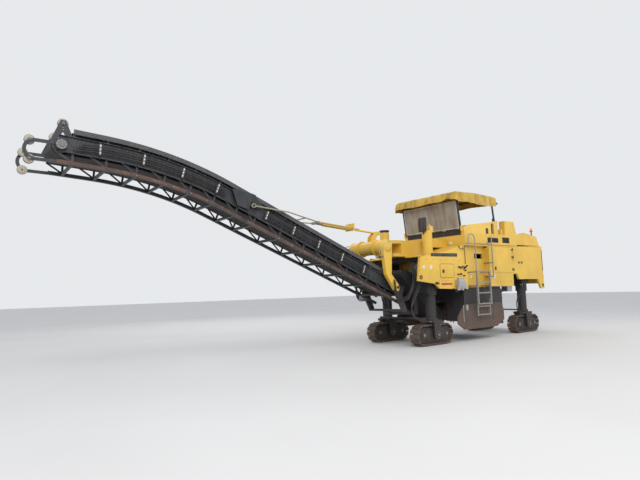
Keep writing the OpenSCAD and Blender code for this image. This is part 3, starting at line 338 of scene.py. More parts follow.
paints = {
    "yellow": finish("dustyYellow", (0.80, 0.50, 0.055), tint=(0.50, 0.36, 0.17), dust=0.10, soil=0.22, streaks=0.12,
                     wear=0.35, coat=0.15),
    "black": finish("dustyBlack", (0.016, 0.019, 0.024), tint=(0.16, 0.14, 0.12), dust=0.16, soil=0.55, streaks=0.2,
                    bare=(0.16, 0.15, 0.15), rough=0.42),
    "frame": finish("frameBlack", (0.016, 0.018, 0.021), tint=(0.13, 0.095, 0.075), dust=0.16, soil=0.35, streaks=0.2,
                    wear=0.4, rough=0.5),
    "truss": finish("conveyorBlack", (0.018, 0.022, 0.030), tint=(0.15, 0.13, 0.12), dust=0.20, soil=0.0, streaks=0.3,
                    wear=0.6, bare=(0.2, 0.17, 0.15), rough=0.4),
    "chord": finish("dustyChord", (0.05, 0.035, 0.03), tint=(0.30, 0.14, 0.09), dust=0.6, soil=0.0, rough=0.6),
    "ribbed": finish("coverGrey", (0.07, 0.075, 0.085), tint=(0.22, 0.20, 0.18), dust=0.3, soil=0.0, rough=0.5),
    "gusset": finish("gussetGrey", (0.16, 0.165, 0.175), tint=(0.3, 0.25, 0.2), soil=0.0, rough=0.5),
    "track": finish("shoeSteel", (0.10, 0.092, 0.085), tint=(0.20, 0.115, 0.08), dust=0.5, soil=0.35, streaks=0.2,
                    wear=0.7, bare=(0.22, 0.20, 0.18), rough=0.5, metal=0.3, bump=0.3, grain=60),
    "drum": finish("drumSteel", (0.15, 0.14, 0.13), tint=siteSoil, dust=0.5, wear=0.9, bare=(0.45, 0.43, 0.4),
                   rough=0.4, metal=0.6, bump=0.35, grain=45),
    "plate": finish("cakedPlate", (0.055, 0.048, 0.043), tint=(0.20, 0.125, 0.085), dust=0.45, soil=0.6, streaks=0.4,
                    rough=0.6, bump=0.3, grain=40),
    "grey": finish("ladderGrey", (0.34, 0.34, 0.33), tint=(0.36, 0.22, 0.15), soil=0.4, bare=(0.55, 0.55, 0.55),
                   rough=0.4, metal=0.5),
    "silver": finish("silverPart", (0.52, 0.53, 0.55), tint=(0.36, 0.28, 0.22), soil=0.2, rough=0.3, metal=0.75),
    "iron": finish("castIron", (0.19, 0.2, 0.21), dust=0.3, soil=0.2, wear=0.3, rough=0.55, metal=0.4, bump=0.35),
    "rubber": finish("beltRubber", (0.018, 0.018, 0.018), tint=(0.2, 0.15, 0.12), dust=0.3, soil=0.3, wear=0, rough=0.7,
                     bump=0.3, grain=70),
    "hose": finish("hoseRubber", (0.012, 0.012, 0.013), tint=(0.16, 0.12, 0.1), dust=0.16, soil=0.35, wear=0,
                   rough=0.45, bump=0.15, grain=220),
    "paleHose": finish("paleHose", (0.42, 0.40, 0.36), tint=(0.25, 0.2, 0.15), dust=0.3, soil=0.0, wear=0, rough=0.5,
                       bump=0.15, grain=200),
    "pale": finish("palePad", (0.38, 0.36, 0.31), tint=(0.22, 0.15, 0.11), dust=0.35, soil=0.2, wear=0.3, rough=0.55),
    "stay": finish("weatheredStay", (0.36, 0.31, 0.23), dust=0.35, soil=0.0, wear=0.6, rough=0.6, metal=0.2),
    "roller": finish("paleRoller", (0.42, 0.38, 0.31), dust=0.3, soil=0.0, wear=0.6, rough=0.5, metal=0.2),
    "pin": finish("wornPin", (0.30, 0.28, 0.26), tint=(0.2, 0.13, 0.1), dust=0.35, soil=0.2, wear=0.6, rough=0.4,
                  metal=0.6),
    "white": finish("blankWhite", (0.74, 0.74, 0.70), dust=0.12, soil=0.1, wear=0.3, rough=0.45),
    "red": finish("redStrip", (0.48, 0.02, 0.02), dust=0.1, soil=0.1, wear=0.3, rough=0.3, coat=0.4),
    "seat": finish("seatVinyl", (0.03, 0.03, 0.032), tint=(0.25, 0.2, 0.15), soil=0.0, wear=0, rough=0.55, bump=0.35,
                   grain=320),
    "plastic": finish("blackPlastic", (0.02, 0.02, 0.022), tint=(0.25, 0.2, 0.15), dust=0.2, soil=0.0, wear=0.2,
                      rough=0.5, bump=0.2, grain=260),
    "tarpaulin": clothFinish("yellowTarpaulin", (0.66, 0.42, 0.045), (0.30, 0.17, 0.03), threads=180, rough=0.6,
                             dust=0.12),
    "screen": clothFinish("screenCloth", (0.36, 0.32, 0.27), (0.20, 0.155, 0.12), threads=220, rough=0.7),
    "hem": clothFinish("screenHem", (0.55, 0.51, 0.45), (0.32, 0.27, 0.22), threads=260, rough=0.7, dust=0.15),
    "redLens": lensFinish("redLens", (0.6, 0.02, 0.015)),
    "amber": lensFinish("amberLens", (0.95, 0.28, 0.03), glow=0.25),
    "glass": lensFinish("mirrorGlass", (0.22, 0.25, 0.28), rough=0.04),
}

finishOfNode = {"conveyor_lower": "truss", "conveyor_upper": "truss", "filter_unit": "silver", "battery_box": "silver",
                "scraper_gate": "plate"}
finishOfSlot = {"yellow_paint": "yellow", "black_paint": "black", "frame_paint": "frame", "track_steel": "track",
                "drum_steel": "drum", "plate_steel": "plate", "grey_steel": "grey", "engine_iron": "iron",
                "belt_rubber": "rubber", "stay_steel": "stay", "canvas_yellow": "tarpaulin", "screen_canvas": "screen",
                "seat_black": "plastic"}
for name, thing in nodes.items():
    for place in thing.material_slots:
        slot = place.material.name.split(".")[0]
        place.material = paints[finishOfNode.get(name) or finishOfSlot[slot]]

print("shape tools")


def shape():
    return bmesh.new()


def block(bm, low, high, soft=0.006):
    part = bmesh.ops.create_cube(bm, size=1)["verts"]
    size = [b - a for a, b in zip(low, high)]
    for v in part:
        v.co = Vector([(a + b) / 2 + c * s for a, b, c, s in zip(low, high, v.co, size)])
    edges = list({e for v in part for e in v.link_edges})
    width = min(soft, min(size) * 0.3)
    if width > 0.0004:
        bmesh.ops.bevel(bm, geom=edges, offset=width, segments=2, affect="EDGES", profile=0.6)


def plate(bm, outline, y0, y1, soft=0.004):
    ends = [[bm.verts.new(at(x, y, z)) for x, z in outline] for y in (y0, y1)]
    faces = [bm.faces.new(ends[0]), bm.faces.new(list(reversed(ends[1])))]
    n = len(outline)
    for i in range(n):
        faces.append(bm.faces.new((ends[0][(i + 1) % n], ends[0][i], ends[1][i], ends[1][(i + 1) % n])))
    bmesh.ops.recalc_face_normals(bm, faces=faces)
    rims = [e for f in faces[:2] for e in f.edges]
    if soft:
        bmesh.ops.bevel(bm, geom=list(set(rims)), offset=soft, segments=2, affect="EDGES", profile=0.6)


def skinned(bm, rings):  # walls from ring to ring, and a cap on each end
    n = len(rings[0])
    faces = []
    for a, b in zip(rings, rings[1:]):
        for k in range(n):
            faces.append(bm.faces.new((a[k], a[(k + 1) % n], b[(k + 1) % n], b[k])))
    faces += [bm.faces.new(list(reversed(rings[0]))), bm.faces.new(rings[-1])]
    bmesh.ops.recalc_face_normals(bm, faces=faces)


def circle(spot, a, b, radius, sides, count=None):
    turns = (2 * math.pi * k / sides for k in range(count or sides))
    return [spot + (a * math.cos(t) + b * math.sin(t)) * radius for t in turns]


def curved(points, count):
    points = [Vector(p) for p in points]
    spans = [(b - a).length for a, b in zip(points, points[1:])]
    padded = [points[0] * 2 - points[1]] + points + [points[-1] * 2 - points[-2]]
    line = []
    for i in range(len(points) - 1):
        a, b, c, d = padded[i:i + 4]
        steps = max(2, round(count * spans[i] / sum(spans)))
        for t in (k / steps for k in range(steps)):
            square, cube = 2 * a - 5 * b + 4 * c - d, 3 * b - a - 3 * c + d
            line.append(0.5 * (2 * b + (c - a) * t + square * t * t + cube * t ** 3))
    return line + [points[-1]]


def tube(bm, line, radius, sides=10):
    line = [Vector(p) for p in line]
    normal = None
    rings = []
    for i, spot in enumerate(line):
        ahead = (line[min(i + 1, len(line) - 1)] - line[max(i - 1, 0)]).normalized()
        if normal is None:
            normal = ahead.cross(Vector((0, 0, 1)) if abs(ahead.z) < 0.9 else Vector((0, 1, 0))).normalized()
        normal = (normal - ahead * normal.dot(ahead)).normalized()
        r = radius[i] if isinstance(radius, list) else radius
        rings.append([bm.verts.new(p) for p in circle(spot, normal, ahead.cross(normal), r, sides)])
    skinned(bm, rings)


def turned(bm, start, axis, profile, sides=24):
    axis = Vector(axis).normalized()
    normal = axis.cross(Vector((0, 0, 1)) if abs(axis.z) < 0.9 else Vector((1, 0, 0))).normalized()
    other = axis.cross(normal)
    rings = []
    for h, r in profile:
        spots = circle(Vector(start) + axis * h, normal, other, max(r, 0.0004), sides)
        rings.append([bm.verts.new(p) for p in spots])
    skinned(bm, rings)


def piece(name, bm, body, material, sharp=35):
    mesh = bpy.data.meshes.new(name)
    bmesh.ops.recalc_face_normals(bm, faces=bm.faces)
    bm.to_mesh(mesh)
    bm.free()
    mesh.shade_smooth()
    mesh.set_sharp_from_angle(angle=math.radians(sharp))
    thing = placed(name, mesh)
    mesh.materials.append(paints[material])
    if body:
        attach(thing, body)
    return thing


def repeatTree():
    tree = bpy.data.node_groups.new("repeatOnSpots", "GeometryNodeTree")
    for label, kind, value in (("Spots", "Geometry", None), ("Part", "Object", None), ("Size", "Float", 1.0),
                               ("Spread", "Float", 0.0), ("Seed", "Int", 3), ("Finish", "Material", None)):
        socket = tree.interface.new_socket(label, in_out="INPUT", socket_type="NodeSocket" + kind)
        if value is not None:
            socket.default_value = value
    tree.interface.new_socket("Result", in_out="OUTPUT", socket_type="NodeSocketGeometry")
    given, out = tree.nodes.new("NodeGroupInput"), tree.nodes.new("NodeGroupOutput")
    source = add(tree, "GeometryNodeObjectInfo")
    turn = add(tree, "GeometryNodeInputNamedAttribute", data_type="FLOAT_VECTOR", Name="turn")
    vary = add(tree, "FunctionNodeRandomValue", data_type="FLOAT")
    low = add(tree, "ShaderNodeMath", operation="SUBTRACT")
    high = add(tree, "ShaderNodeMath", operation="ADD")
    copies = add(tree, "GeometryNodeInstanceOnPoints")
    real = add(tree, "GeometryNodeRealizeInstances")
    painted = add(tree, "GeometryNodeSetMaterial")
    wire(tree, (given.outputs["Part"], source.inputs["Object"]), (given.outputs["Spots"], copies.inputs["Points"]),
         (source.outputs["Geometry"], copies.inputs["Instance"]),
         (turn.outputs["Attribute"], copies.inputs["Rotation"]),
         (given.outputs["Size"], low.inputs[0]), (given.outputs["Spread"], low.inputs[1]),
         (given.outputs["Size"], high.inputs[0]), (given.outputs["Spread"], high.inputs[1]),
         (low.outputs[0], vary.inputs[2]), (high.outputs[0], vary.inputs[3]),
         (given.outputs["Seed"], vary.inputs["Seed"]), (vary.outputs[1], copies.inputs["Scale"]),
         (copies.outputs["Instances"], real.inputs["Geometry"]), (real.outputs["Geometry"], painted.inputs["Geometry"]),
         (given.outputs["Finish"], painted.inputs["Material"]), (painted.outputs["Geometry"], out.inputs["Result"]))
    return tree


repeatSpots = repeatTree()


def repeated(name, bm, places, body, material, size=1.0, spread=0.0, seed=3):
    partMesh = bpy.data.meshes.new(name + "One")
    bm.to_mesh(partMesh)
    bm.free()
    partMesh.shade_smooth()
    partMesh.set_sharp_from_angle(angle=math.radians(35))
    part = placed(name + "One", partMesh)
    spots = bpy.data.meshes.new(name + "Spots")
    spots.from_pydata([p for p, turn in places], [], [])
    turns = spots.attributes.new("turn", "FLOAT_VECTOR", "POINT")
    for i, (p, turn) in enumerate(places):
        turns.data[i].vector = turn
    holder = placed(name + "Spots", spots)
    maker = holder.modifiers.new("repeat", "NODES")
    maker.node_group = repeatSpots
    sockets = {s.name: s.identifier for s in repeatSpots.interface.items_tree if s.in_out == "INPUT"}
    for label, value in (("Part", part), ("Size", size), ("Spread", spread), ("Seed", seed),
                         ("Finish", paints[material])):
        maker[sockets[label]] = value
    result = bpy.data.meshes.new_from_object(holder.evaluated_get(bpy.context.evaluated_depsgraph_get()))
    result.name = name
    holder.modifiers.remove(maker)
    bpy.data.objects.remove(holder)
    bpy.data.objects.remove(part)
    thing = placed(name, result)
    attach(thing, body)
    return thing


def facing(direction):
    return tuple(Vector(direction).to_track_quat("Z", "Y").to_euler())


def boltHead(radius, height):
    bm = shape()
    turned(bm, (0, 0, -0.002), (0, 0, 1), [(0, radius * 1.5), (0.004, radius * 1.45), (0.0041, radius),
                                           (height, radius * 0.97), (height + 0.002, radius * 0.8)], sides=6)
    return bm


print("conveyor dress")
boom = {"footX": 3.72, "footZ": 1.69, "lowSlope": 22.3, "tipSlope": 2.5, "bend": 7.74, "fold": 5.004, "straight": 5.604,
        "tip": 0.85, "half": 0.55}
boom["arc"] = boom["bend"] * math.radians(boom["lowSlope"] - boom["tipSlope"])
boom["end"] = boom["straight"] + boom["arc"] + boom["tip"]


def slopeAt(s):
    turnedBy = min(max(s - boom["straight"], 0), boom["arc"]) / boom["bend"]
    return math.radians(boom["lowSlope"]) - turnedBy


def onBoom(s, v=0.0, y=0.0):  # s along the conveyor's line, v square to it
    low = math.radians(boom["lowSlope"])
    ahead = min(s, boom["straight"])
    x, z = boom["footX"] + ahead * math.cos(low), boom["footZ"] + ahead * math.sin(low)
    a = slopeAt(s)
    if s > boom["straight"]:
        cx, cz = x + boom["bend"] * math.sin(low), z - boom["bend"] * math.cos(low)
        x, z = cx - boom["bend"] * math.sin(a), cz + boom["bend"] * math.cos(a)
        rest = s - boom["straight"] - boom["arc"]
        if rest > 0:
            x, z = x + rest * math.cos(a), z + rest * math.sin(a)
    return at(x - v * math.sin(a), y, z + v * math.cos(a))


def stations(s0, s1, step):
    count = max(2, round((s1 - s0) / step) + 1)
    return [s0 + (s1 - s0) * i / (count - 1) for i in range(count)]


def boomStrip(bm, s0, s1, v0, v1, y0, y1):
    corners = ((v0, y0), (v1, y0), (v1, y1), (v0, y1))
    skinned(bm, [[bm.verts.new(onBoom(s, v, y)) for v, y in corners] for s in stations(s0, s1, 0.2)])


def alongBoom(first, pitch, count, skip=0):
    return [(onBoom(first + i * pitch), (0, -slopeAt(first + i * pitch), 0)) for i in range(skip, count)]


sections = (
    {"label": "Inner", "body": "conveyor_inner", "from": 0.52, "to": boom["fold"] - 0.075, "sideRibs": (0, 0),
     "chord": (0.9, 0), "pipes": (1.0, boom["fold"] - 0.42), "droop": ()},
    {"label": "Outer", "body": "conveyor_outer", "from": boom["fold"] + 0.075, "to": boom["end"] - 0.33,
     "sideRibs": (6, 0.2), "chord": (0, 0.24), "pipes": (boom["fold"] + 0.62, boom["end"] - 0.62),
     "droop": ((0.12, 0.02, 0.562), (0.28, 0.03, 0.566))})
cover = {"low": 0.262, "arch": 0.07, "steps": 16, "rib": 0.008, "pitch": 0.11, "edge": (0.242, 0.334),
         "edgeFace": 0.551, "edgeThick": 0.008, "lines": (0.262, 0.288, 0.314), "line": 0.008}
sideRib = {"pitch": 0.155, "ahead": 0.35, "half": 0.011, "face": 0.511, "thick": 0.011, "low": -0.108, "high": 0.178}
chord = {"low": -0.338, "high": -0.274, "face": 0.531, "thick": 0.004}
for part in sections:
    label, body, s0, s1 = part["label"], part["body"], part["from"], part["to"]
    bm = shape()
    for side in (-1, 1):  # the cover's edge strips, each with three pressed lines
        face = cover["edgeFace"]
        boomStrip(bm, s0, s1, *cover["edge"], side * face, side * (face + cover["edgeThick"]))
        for v in cover["lines"]:
            boomStrip(bm, s0, s1, v, v + cover["line"], side * (face + 0.007), side * (face + 0.0135))
    piece("coverEdge" + label, bm, body, "ribbed", sharp=20)
    bm = shape()
    arch = []
    for k in range(cover["steps"] + 1):
        across = 2 * k / cover["steps"] - 1
        arch.append((0, -boom["half"] * across, cover["low"] + cover["arch"] * (1 - across ** 2) + 0.0005))
    tube(bm, arch, cover["rib"], sides=6)
    places = alongBoom(s0 + 0.03, cover["pitch"], int((s1 - s0 - 0.05) / cover["pitch"]))
    repeated("coverRibs" + label, bm, places, body, "ribbed")
    bm = shape()
    for side in (-1, 1):
        y0, y1 = sorted((side * sideRib["face"], side * (sideRib["face"] + sideRib["thick"])))
        block(bm, (-sideRib["half"], y0, sideRib["low"]), (sideRib["half"], y1, sideRib["high"]), soft=0.003)
    skip, more = part["sideRibs"]
    count = int((s1 + more - s0 + 0.3) / sideRib["pitch"])
    places = alongBoom(s0 - sideRib["ahead"], sideRib["pitch"], count, skip)
    repeated("sideRibs" + label, bm, places, body, "truss")
    bm = shape()
    back, ahead = part["chord"]
    for side in (-1, 1):
        y0, y1 = side * chord["face"], side * (chord["face"] + chord["thick"])
        boomStrip(bm, s0 - back, s1 + ahead, chord["low"], chord["high"], y0, y1)
    piece("chordDust" + label, bm, body, "chord")

pipes = {"levels": (-0.03, 0.015, 0.06, 0.105), "y": 0.572, "radii": (0.013, 0.011), "stagger": (0.03, 0.05),
         "clampPitch": 0.82, "firstClamp": 0.25, "clamp": ((-0.02, 0.553, -0.075), (0.02, 0.597, 0.145)),
         "tapes": (-0.05, 0.02, 0.09), "tape": 0.03, "tapeHalf": 0.012, "tapeFace": (0.596, 0.6)}
for part in sections:
    label, body = part["label"], part["body"]
    s0, s1 = part["pipes"]
    bm = shape()
    for k, v in enumerate(pipes["levels"]):
        last = s1 - k * pipes["stagger"][1]
        line = [onBoom(s, v, pipes["y"]) for s in stations(s0 + k * pipes["stagger"][0], last, 0.25)]
        line += [onBoom(last + ahead, v - drop, y) for ahead, drop, y in part["droop"]]
        tube(bm, line, pipes["radii"][k % 2], sides=8)
    piece("boomPipes" + label, bm, body, "hose", sharp=60)
    bm = shape()
    block(bm, *pipes["clamp"], soft=0.006)
    count = int((s1 - s0 - 0.3) / pipes["clampPitch"]) + 1
    places = alongBoom(s0 + pipes["firstClamp"], pipes["clampPitch"], count)
    repeated("pipeClamps" + label, bm, places, body, "gusset")
    bm = shape()
    half, (y0, y1) = pipes["tapeHalf"], pipes["tapeFace"]
    for v in pipes["tapes"]:
        block(bm, (-half, y0, v), (half, y1, v + pipes["tape"]), soft=0.002)
    repeated("clampTape" + label, bm, places, body, "white")

tip = {"rollers": ((12.7004, 4.4521, 0.085), (12.7004, 4.1081, 0.085), (12.1814, 4.8381, 0.09)), "rollerFace": 0.4375,
       "capFace": 0.52, "hub": boom["end"] - 0.14, "hubFace": 0.6, "hubBolts": 0.072, "chordBolts": 0.4,
       "foldPlate": ((0.03, 0.14), (0.06, -0.05), (0.3, -0.09), (0.54, 0.175), (0.06, 0.32), (0.0, 0.325)),
       "plateFaces": (0.572, 0.5755)}
bm = shape()
for side in (-1, 1):
    for x, z, r in tip["rollers"]:
        small, large = r - 0.004, r + 0.003
        turned(bm, at(x, side * tip["rollerFace"], z), (0, side, 0),
               [(0, r * 0.5), (0.0005, small), (0.004, large), (0.026, small), (0.048, large), (0.0515, small),
                (0.052, r * 0.5)])
piece("tipRollers", bm, "conveyor_outer", "roller")
bm = shape()
for side in (-1, 1):
    for x, z, r in tip["rollers"]:
        turned(bm, at(x, side * tip["capFace"], z), (0, side, 0),
               [(-0.01, 0.03), (0.006, 0.03), (0.0065, 0.018), (0.02, 0.017), (0.022, 0.012)], sides=6)
    turned(bm, onBoom(tip["hub"], 0, side * tip["hubFace"]), (0, side, 0),
           [(-0.004, 0.092), (0.004, 0.088), (0.0045, 0.05), (0.016, 0.046), (0.018, 0.03)])
piece("tipCaps", bm, "conveyor_outer", "gusset")
places = []
for side in (-1, 1):
    hub = onBoom(tip["hub"], 0, side * (tip["hubFace"] + 0.003))
    ring = circle(hub, Vector((1, 0, 0)), Vector((0, 0, 1)), tip["hubBolts"], 8)
    places += [(spot, facing((0, side, 0))) for spot in ring]
for i in range(3, 20):
    for side in (-1, 1):
        places.append((onBoom(i * tip["chordBolts"], -0.307, side * 0.536), facing((0, side, 0))))
outer = [p for p in places if p[0].x > onBoom(boom["fold"] + 0.5).x]
inner = [p for p in places if p[0].x < onBoom(boom["fold"] - 0.5).x]
repeated("boomBoltsOuter", boltHead(0.009, 0.007), outer, "conveyor_outer", "grey")
repeated("boomBoltsInner", boltHead(0.009, 0.007), inner, "conveyor_inner", "grey")
bm = shape()
outline = [onBoom(boom["fold"] + u, v) for u, v in tip["foldPlate"]]
y0, y1 = tip["plateFaces"]
for side in (-1, 1):
    plate(bm, [(p.x + middle, p.z) for p in outline], side * y0, side * y1, soft=0.001)
piece("foldPlate", bm, "conveyor_outer", "gusset")

print("tarpaulin and its frame")
tarp = {"front": 1.488, "back": -0.612, "half": 1.283, "ridge": 1.16, "edge": 4.552, "top": 4.603, "arch": 0.042,
        "sideLow": 4.268, "frontLow": 4.338, "across": 84, "along": 64, "rows": 11, "thick": 0.003, "fold": 0.016,
        "sag": 0.012, "crease": 0.006, "flare": 0.008, "lean": (0.062, 0.022), "rearLean": 0.004, "rearLift": 0.03,
        "seam": 0.0045, "eyeletStep": 9, "eyeletRise": 0.045}
roofFrame = {"rail": 1.157, "railHalf": 0.0205, "rails": (-0.879, 4.393, 1.377, 4.449), "pivots": (1.3194, -0.8206),
             "pivotZ": 4.421, "pivotY": 1.1775, "ties": (-0.56, 0.465, 1.47), "tie": 0.016,
             "elbow": ((1.157, 4.47), (1.13, 4.535), (0.99, 4.556), (0.8, 4.562)),
             "stringers": (-0.62, 0.62), "stringer": 0.013, "stringerZ": 4.532}


def wave(x, y, z):
    return noise.noise(Vector((x, y, z)))


def tarpTop(x, y):
    side = abs(y)
    part = (x - tarp["back"]) / (tarp["front"] - tarp["back"])
    z = tarp["top"] + tarp["arch"] * (1 - (2 * part - 0.85) ** 2) * min(1, 1.5 - part)
    if side > tarp["ridge"]:
        beyond = (side - tarp["ridge"]) / (tarp["half"] - tarp["ridge"])
        z -= (tarp["top"] - tarp["edge"]) * beyond ** 1.3
    gap = min(abs(x - t) for t in roofFrame["ties"])
    slack = min(gap / 0.5, 1) * (tarp["sag"] + 0.016 * wave(x * 1.7, y * 2.1, 3.0)) * min(1, 2.4 - 2 * side)
    pull = 0.009 * wave(x * 9 + y * 3.5, y * 2.2 - x, 1.0) * min(1.0, 0.35 + side)
    return z - slack + pull + tarp["crease"] * wave(x * 3 + y * 14, y * 3, 7.0)


def tarpHang(edge, out, run, k):
    t = k / tarp["rows"]
    x, y = edge.x + middle, edge.y
    sideways = min(1, abs(out.y) * 1.2)
    sideLow = tarp["sideLow"] + 0.020 * math.cos(3.4 * (x - 1.0)) + 0.018 * (x < 0) * min(1, -x)
    dip = 0.085 * math.exp(-((y - 0.93) / 0.17) ** 2) * (x > 1)  # the front edge is caught up at one corner
    frontLow = tarp["frontLow"] + dip + 0.012 * math.sin(5 * y)
    bottom = sideLow * sideways + frontLow * (1 - sideways) + 0.009 * wave(run * 6.0, 0.0, 5.0)
    z = edge.z + (bottom - edge.z) * t
    waves = 0.6 * math.sin(run * 15 + 3 * wave(run * 2.0, 1.0, 2.0)) + wave(run * 5.0, t * 1.6, 9.0)
    fold = tarp["fold"] * waves * t
    for cornerX in (tarp["front"], tarp["back"]):
        reach = math.hypot(abs(y) - tarp["half"], x - cornerX) + 0.02
        turn = math.atan2(edge.z - z + 0.02, reach)
        fold += tarp["fold"] * math.sin(11 * turn) * math.exp(-reach / 0.4) * min(1, 4 * reach)
    fold += 0.010 * wave(run * 3 + z * 9, z * 16 - run * 2, 4.0)
    lean = tarp["lean"][0] * (1 - sideways) + tarp["lean"][1] * sideways
    if x < 0 and out.x < -0.2:  # clear of the rear posts when the canopy is lowered
        lean, bottom = tarp["rearLean"], bottom + tarp["rearLift"] * -out.x
        z = edge.z + (bottom - edge.z) * t
    fold = max(-tarp["fold"], min(fold, tarp["fold"])) * min(1, 2.5 * t)
    return Vector((edge.x, edge.y, z)) + out * (lean * t ** 0.8 + fold + tarp["flare"] * math.sin(math.pi * t))


def makeTarpaulin():
    bm = shape()
    xs = [tarp["back"] + (tarp["front"] - tarp["back"]) * i / tarp["along"] for i in range(tarp["along"] + 1)]
    ys = [-tarp["half"] + 2 * tarp["half"] * j / tarp["across"] for j in range(tarp["across"] + 1)]
    grid = [[bm.verts.new(at(x, y, tarpTop(x, y))) for y in ys] for x in xs]
    for a, b in zip(grid, grid[1:]):
        for j in range(len(ys) - 1):
            bm.faces.new((a[j], b[j], b[j + 1], a[j + 1]))
    rim = [(v, Vector((-1, 0, 0))) for v in grid[0][:-1]] + [(row[-1], Vector((0, 1, 0))) for row in grid[:-1]]
    rim += [(v, Vector((1, 0, 0))) for v in reversed(grid[-1][1:])]
    rim += [(row[0], Vector((0, -1, 0))) for row in reversed(grid[1:])]
    n = len(rim)
    outs = [sum((rim[(i + k) % n][1] for k in range(-2, 3)), Vector()).normalized() for i in range(n)]
    run = [0.0]
    for i in range(1, n):
        run.append(run[-1] + (rim[i][0].co - rim[i - 1][0].co).length)
    columns = []
    for i, (v, out) in enumerate(rim):
        hung = [bm.verts.new(tarpHang(v.co, outs[i], run[i], k)) for k in range(1, tarp["rows"] + 1)]
        columns.append([v] + hung)
    for a, b in zip(columns, columns[1:] + columns[:1]):
        for k in range(tarp["rows"]):
            bm.faces.new((a[k], b[k], b[k + 1], a[k + 1]))
    area = sum(f.calc_area() for f in bm.faces)
    hems = [c[-1].co.copy() for c in columns]
    corners = [i for i, o in enumerate(outs) if min(abs(o.x), abs(o.y)) > 0.3 and abs(abs(o.x) - abs(o.y)) < 0.25]
    seams = [[p.co.copy() + outs[i] * 0.003 for p in columns[i]] for i in corners]
    for side in (-1, 1):
        y = side * tarp["ridge"]
        seams.append([at(x, y, tarpTop(x, y) + 0.002) for x in xs])
    return bm, area, hems, outs, seams


bm, clothArea, hems, outs, seams = makeTarpaulin()
tarpaulin = piece("tarpaulin", bm, "canopy_roof", "tarpaulin", sharp=80)
walls = tarpaulin.modifiers.new("cloth", "SOLIDIFY")
walls.thickness = tarp["thick"]
walls.offset = -1
soften = tarpaulin.modifiers.new("smooth", "SUBSURF")
soften.levels = soften.render_levels = 1
bm = shape()
hemSection = ((0.004, -0.002), (0.0045, 0.026), (-0.006, 0.026), (-0.007, -0.002), (-0.001, -0.006))
rings = [[bm.verts.new(p + out * a + Vector((0, 0, b))) for a, b in hemSection] for p, out in zip(hems, outs)]
for a, b in zip(rings, rings[1:] + rings[:1]):
    for k in range(5):
        bm.faces.new((a[k], b[k], b[(k + 1) % 5], a[(k + 1) % 5]))
hem = piece("tarpaulinHem", bm, "canopy_roof", "tarpaulin")
bm = shape()
for line in seams:
    tube(bm, line, tarp["seam"], sides=6)
seam = piece("tarpaulinSeams", bm, "canopy_roof", "tarpaulin", sharp=70)
bm = shape()
turned(bm, (0, 0, 0), (0, 0, 1), [(-0.002, 0.006), (0.0, 0.013), (0.0035, 0.012), (0.004, 0.0065), (0.001, 0.004)], 10)
places = [(hems[i] + outs[i] * 0.0055 + Vector((0, 0, tarp["eyeletRise"])), facing(outs[i]))
          for i in range(4, len(hems), tarp["eyeletStep"])]
eyelets = repeated("tarpaulinEyelets", bm, places, "canopy_roof", "silver")
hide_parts("canopy_roof")
bm = shape()
x0, z0, x1, z1 = roofFrame["rails"]
for side in (-1, 1):
    rail, half = side * roofFrame["rail"], roofFrame["railHalf"]
    block(bm, at(x0, rail - half, z0), at(x1, rail + half, z1), soft=0.008)
    for x in roofFrame["ties"]:
        block(bm, at(x - 0.018, rail - 0.018, 4.44), at(x + 0.018, rail + 0.018, 4.49), soft=0.006)
        tube(bm, curved([at(x, side * y, z) for y, z in roofFrame["elbow"]], 12), roofFrame["tie"], 10)
    for x in roofFrame["pivots"]:
        turned(bm, at(x, side * roofFrame["pivotY"], roofFrame["pivotZ"]), (0, side, 0),
               [(-0.004, 0.034), (0.006, 0.034), (0.0065, 0.02), (0.018, 0.019), (0.02, 0.013)], sides=6)
for x in roofFrame["ties"]:
    tube(bm, [at(x, -0.82, 4.562), at(x, 0, 4.565), at(x, 0.82, 4.562)], roofFrame["tie"], 10)
for y in roofFrame["stringers"]:
    tube(bm, [at(x, y, roofFrame["stringerZ"]) for x in (-0.57, 1.48)], roofFrame["stringer"], 8)
piece("roofFrame", bm, "canopy_roof", "black", sharp=50)

print("windscreen")
screen = {"x": 1.184, "z": 3.5, "lean": math.radians(8), "half": 1.083, "low": -0.027, "high": 0.822, "stand": 0.0235,
          "ripple": 0.0022, "wide": 96, "tall": 36, "thick": 0.002, "hem": (0.0205, 0.0275), "hemLap": 0.028,
          "studs": 0.007, "studRows": (-0.012, 0.807)}


def onScreen(u, y, v):  # u out from the screen's frame, v up along it
    s, c = math.sin(screen["lean"]), math.cos(screen["lean"])
    return at(screen["x"] + v * s + u * c, y, screen["z"] + v * c - u * s)


def hemBar(bm, y0, y1, v0, v1):
    u0, u1 = screen["hem"]
    ends = [onScreen(u, y, v) for y in (y0, y1) for u, v in ((u0, v0), (u1, v0), (u1, v1), (u0, v1))]
    corners = [bm.verts.new(p) for p in ends]
    skinned(bm, [corners[:4], corners[4:]])


bm = shape()
wide, tall, half, low, high = screen["wide"], screen["tall"], screen["half"], screen["low"], screen["high"]
rows = []
for j in range(tall + 1):
    v = low + (high - low) * j / tall
    rows.append([])
    for i in range(wide + 1):
        y = -half + 2 * half * i / wide
        held = min(1, 6 * min(i, wide - i) / wide, 5 * min(j, tall - j) / tall)
        puff = screen["ripple"] * (wave(y * 9, v * 0.8, 4) + 0.7 * wave(y * 3, v * 3, 8)) * held
        rows[-1].append(bm.verts.new(onScreen(screen["stand"] + puff, y, v)))
for a, b in zip(rows, rows[1:]):
    for i in range(wide):
        bm.faces.new((a[i], a[i + 1], b[i + 1], b[i]))
screenCloth = piece("windscreenSheet", bm, "machine", "screen", sharp=80)
walls = screenCloth.modifiers.new("cloth", "SOLIDIFY")
walls.thickness = screen["thick"]
bm = shape()
for v0, v1 in ((low - 0.004, low + 0.03), (high - 0.03, high + 0.004)):
    hemBar(bm, -half - 0.003, half + 0.003, v0, v1)
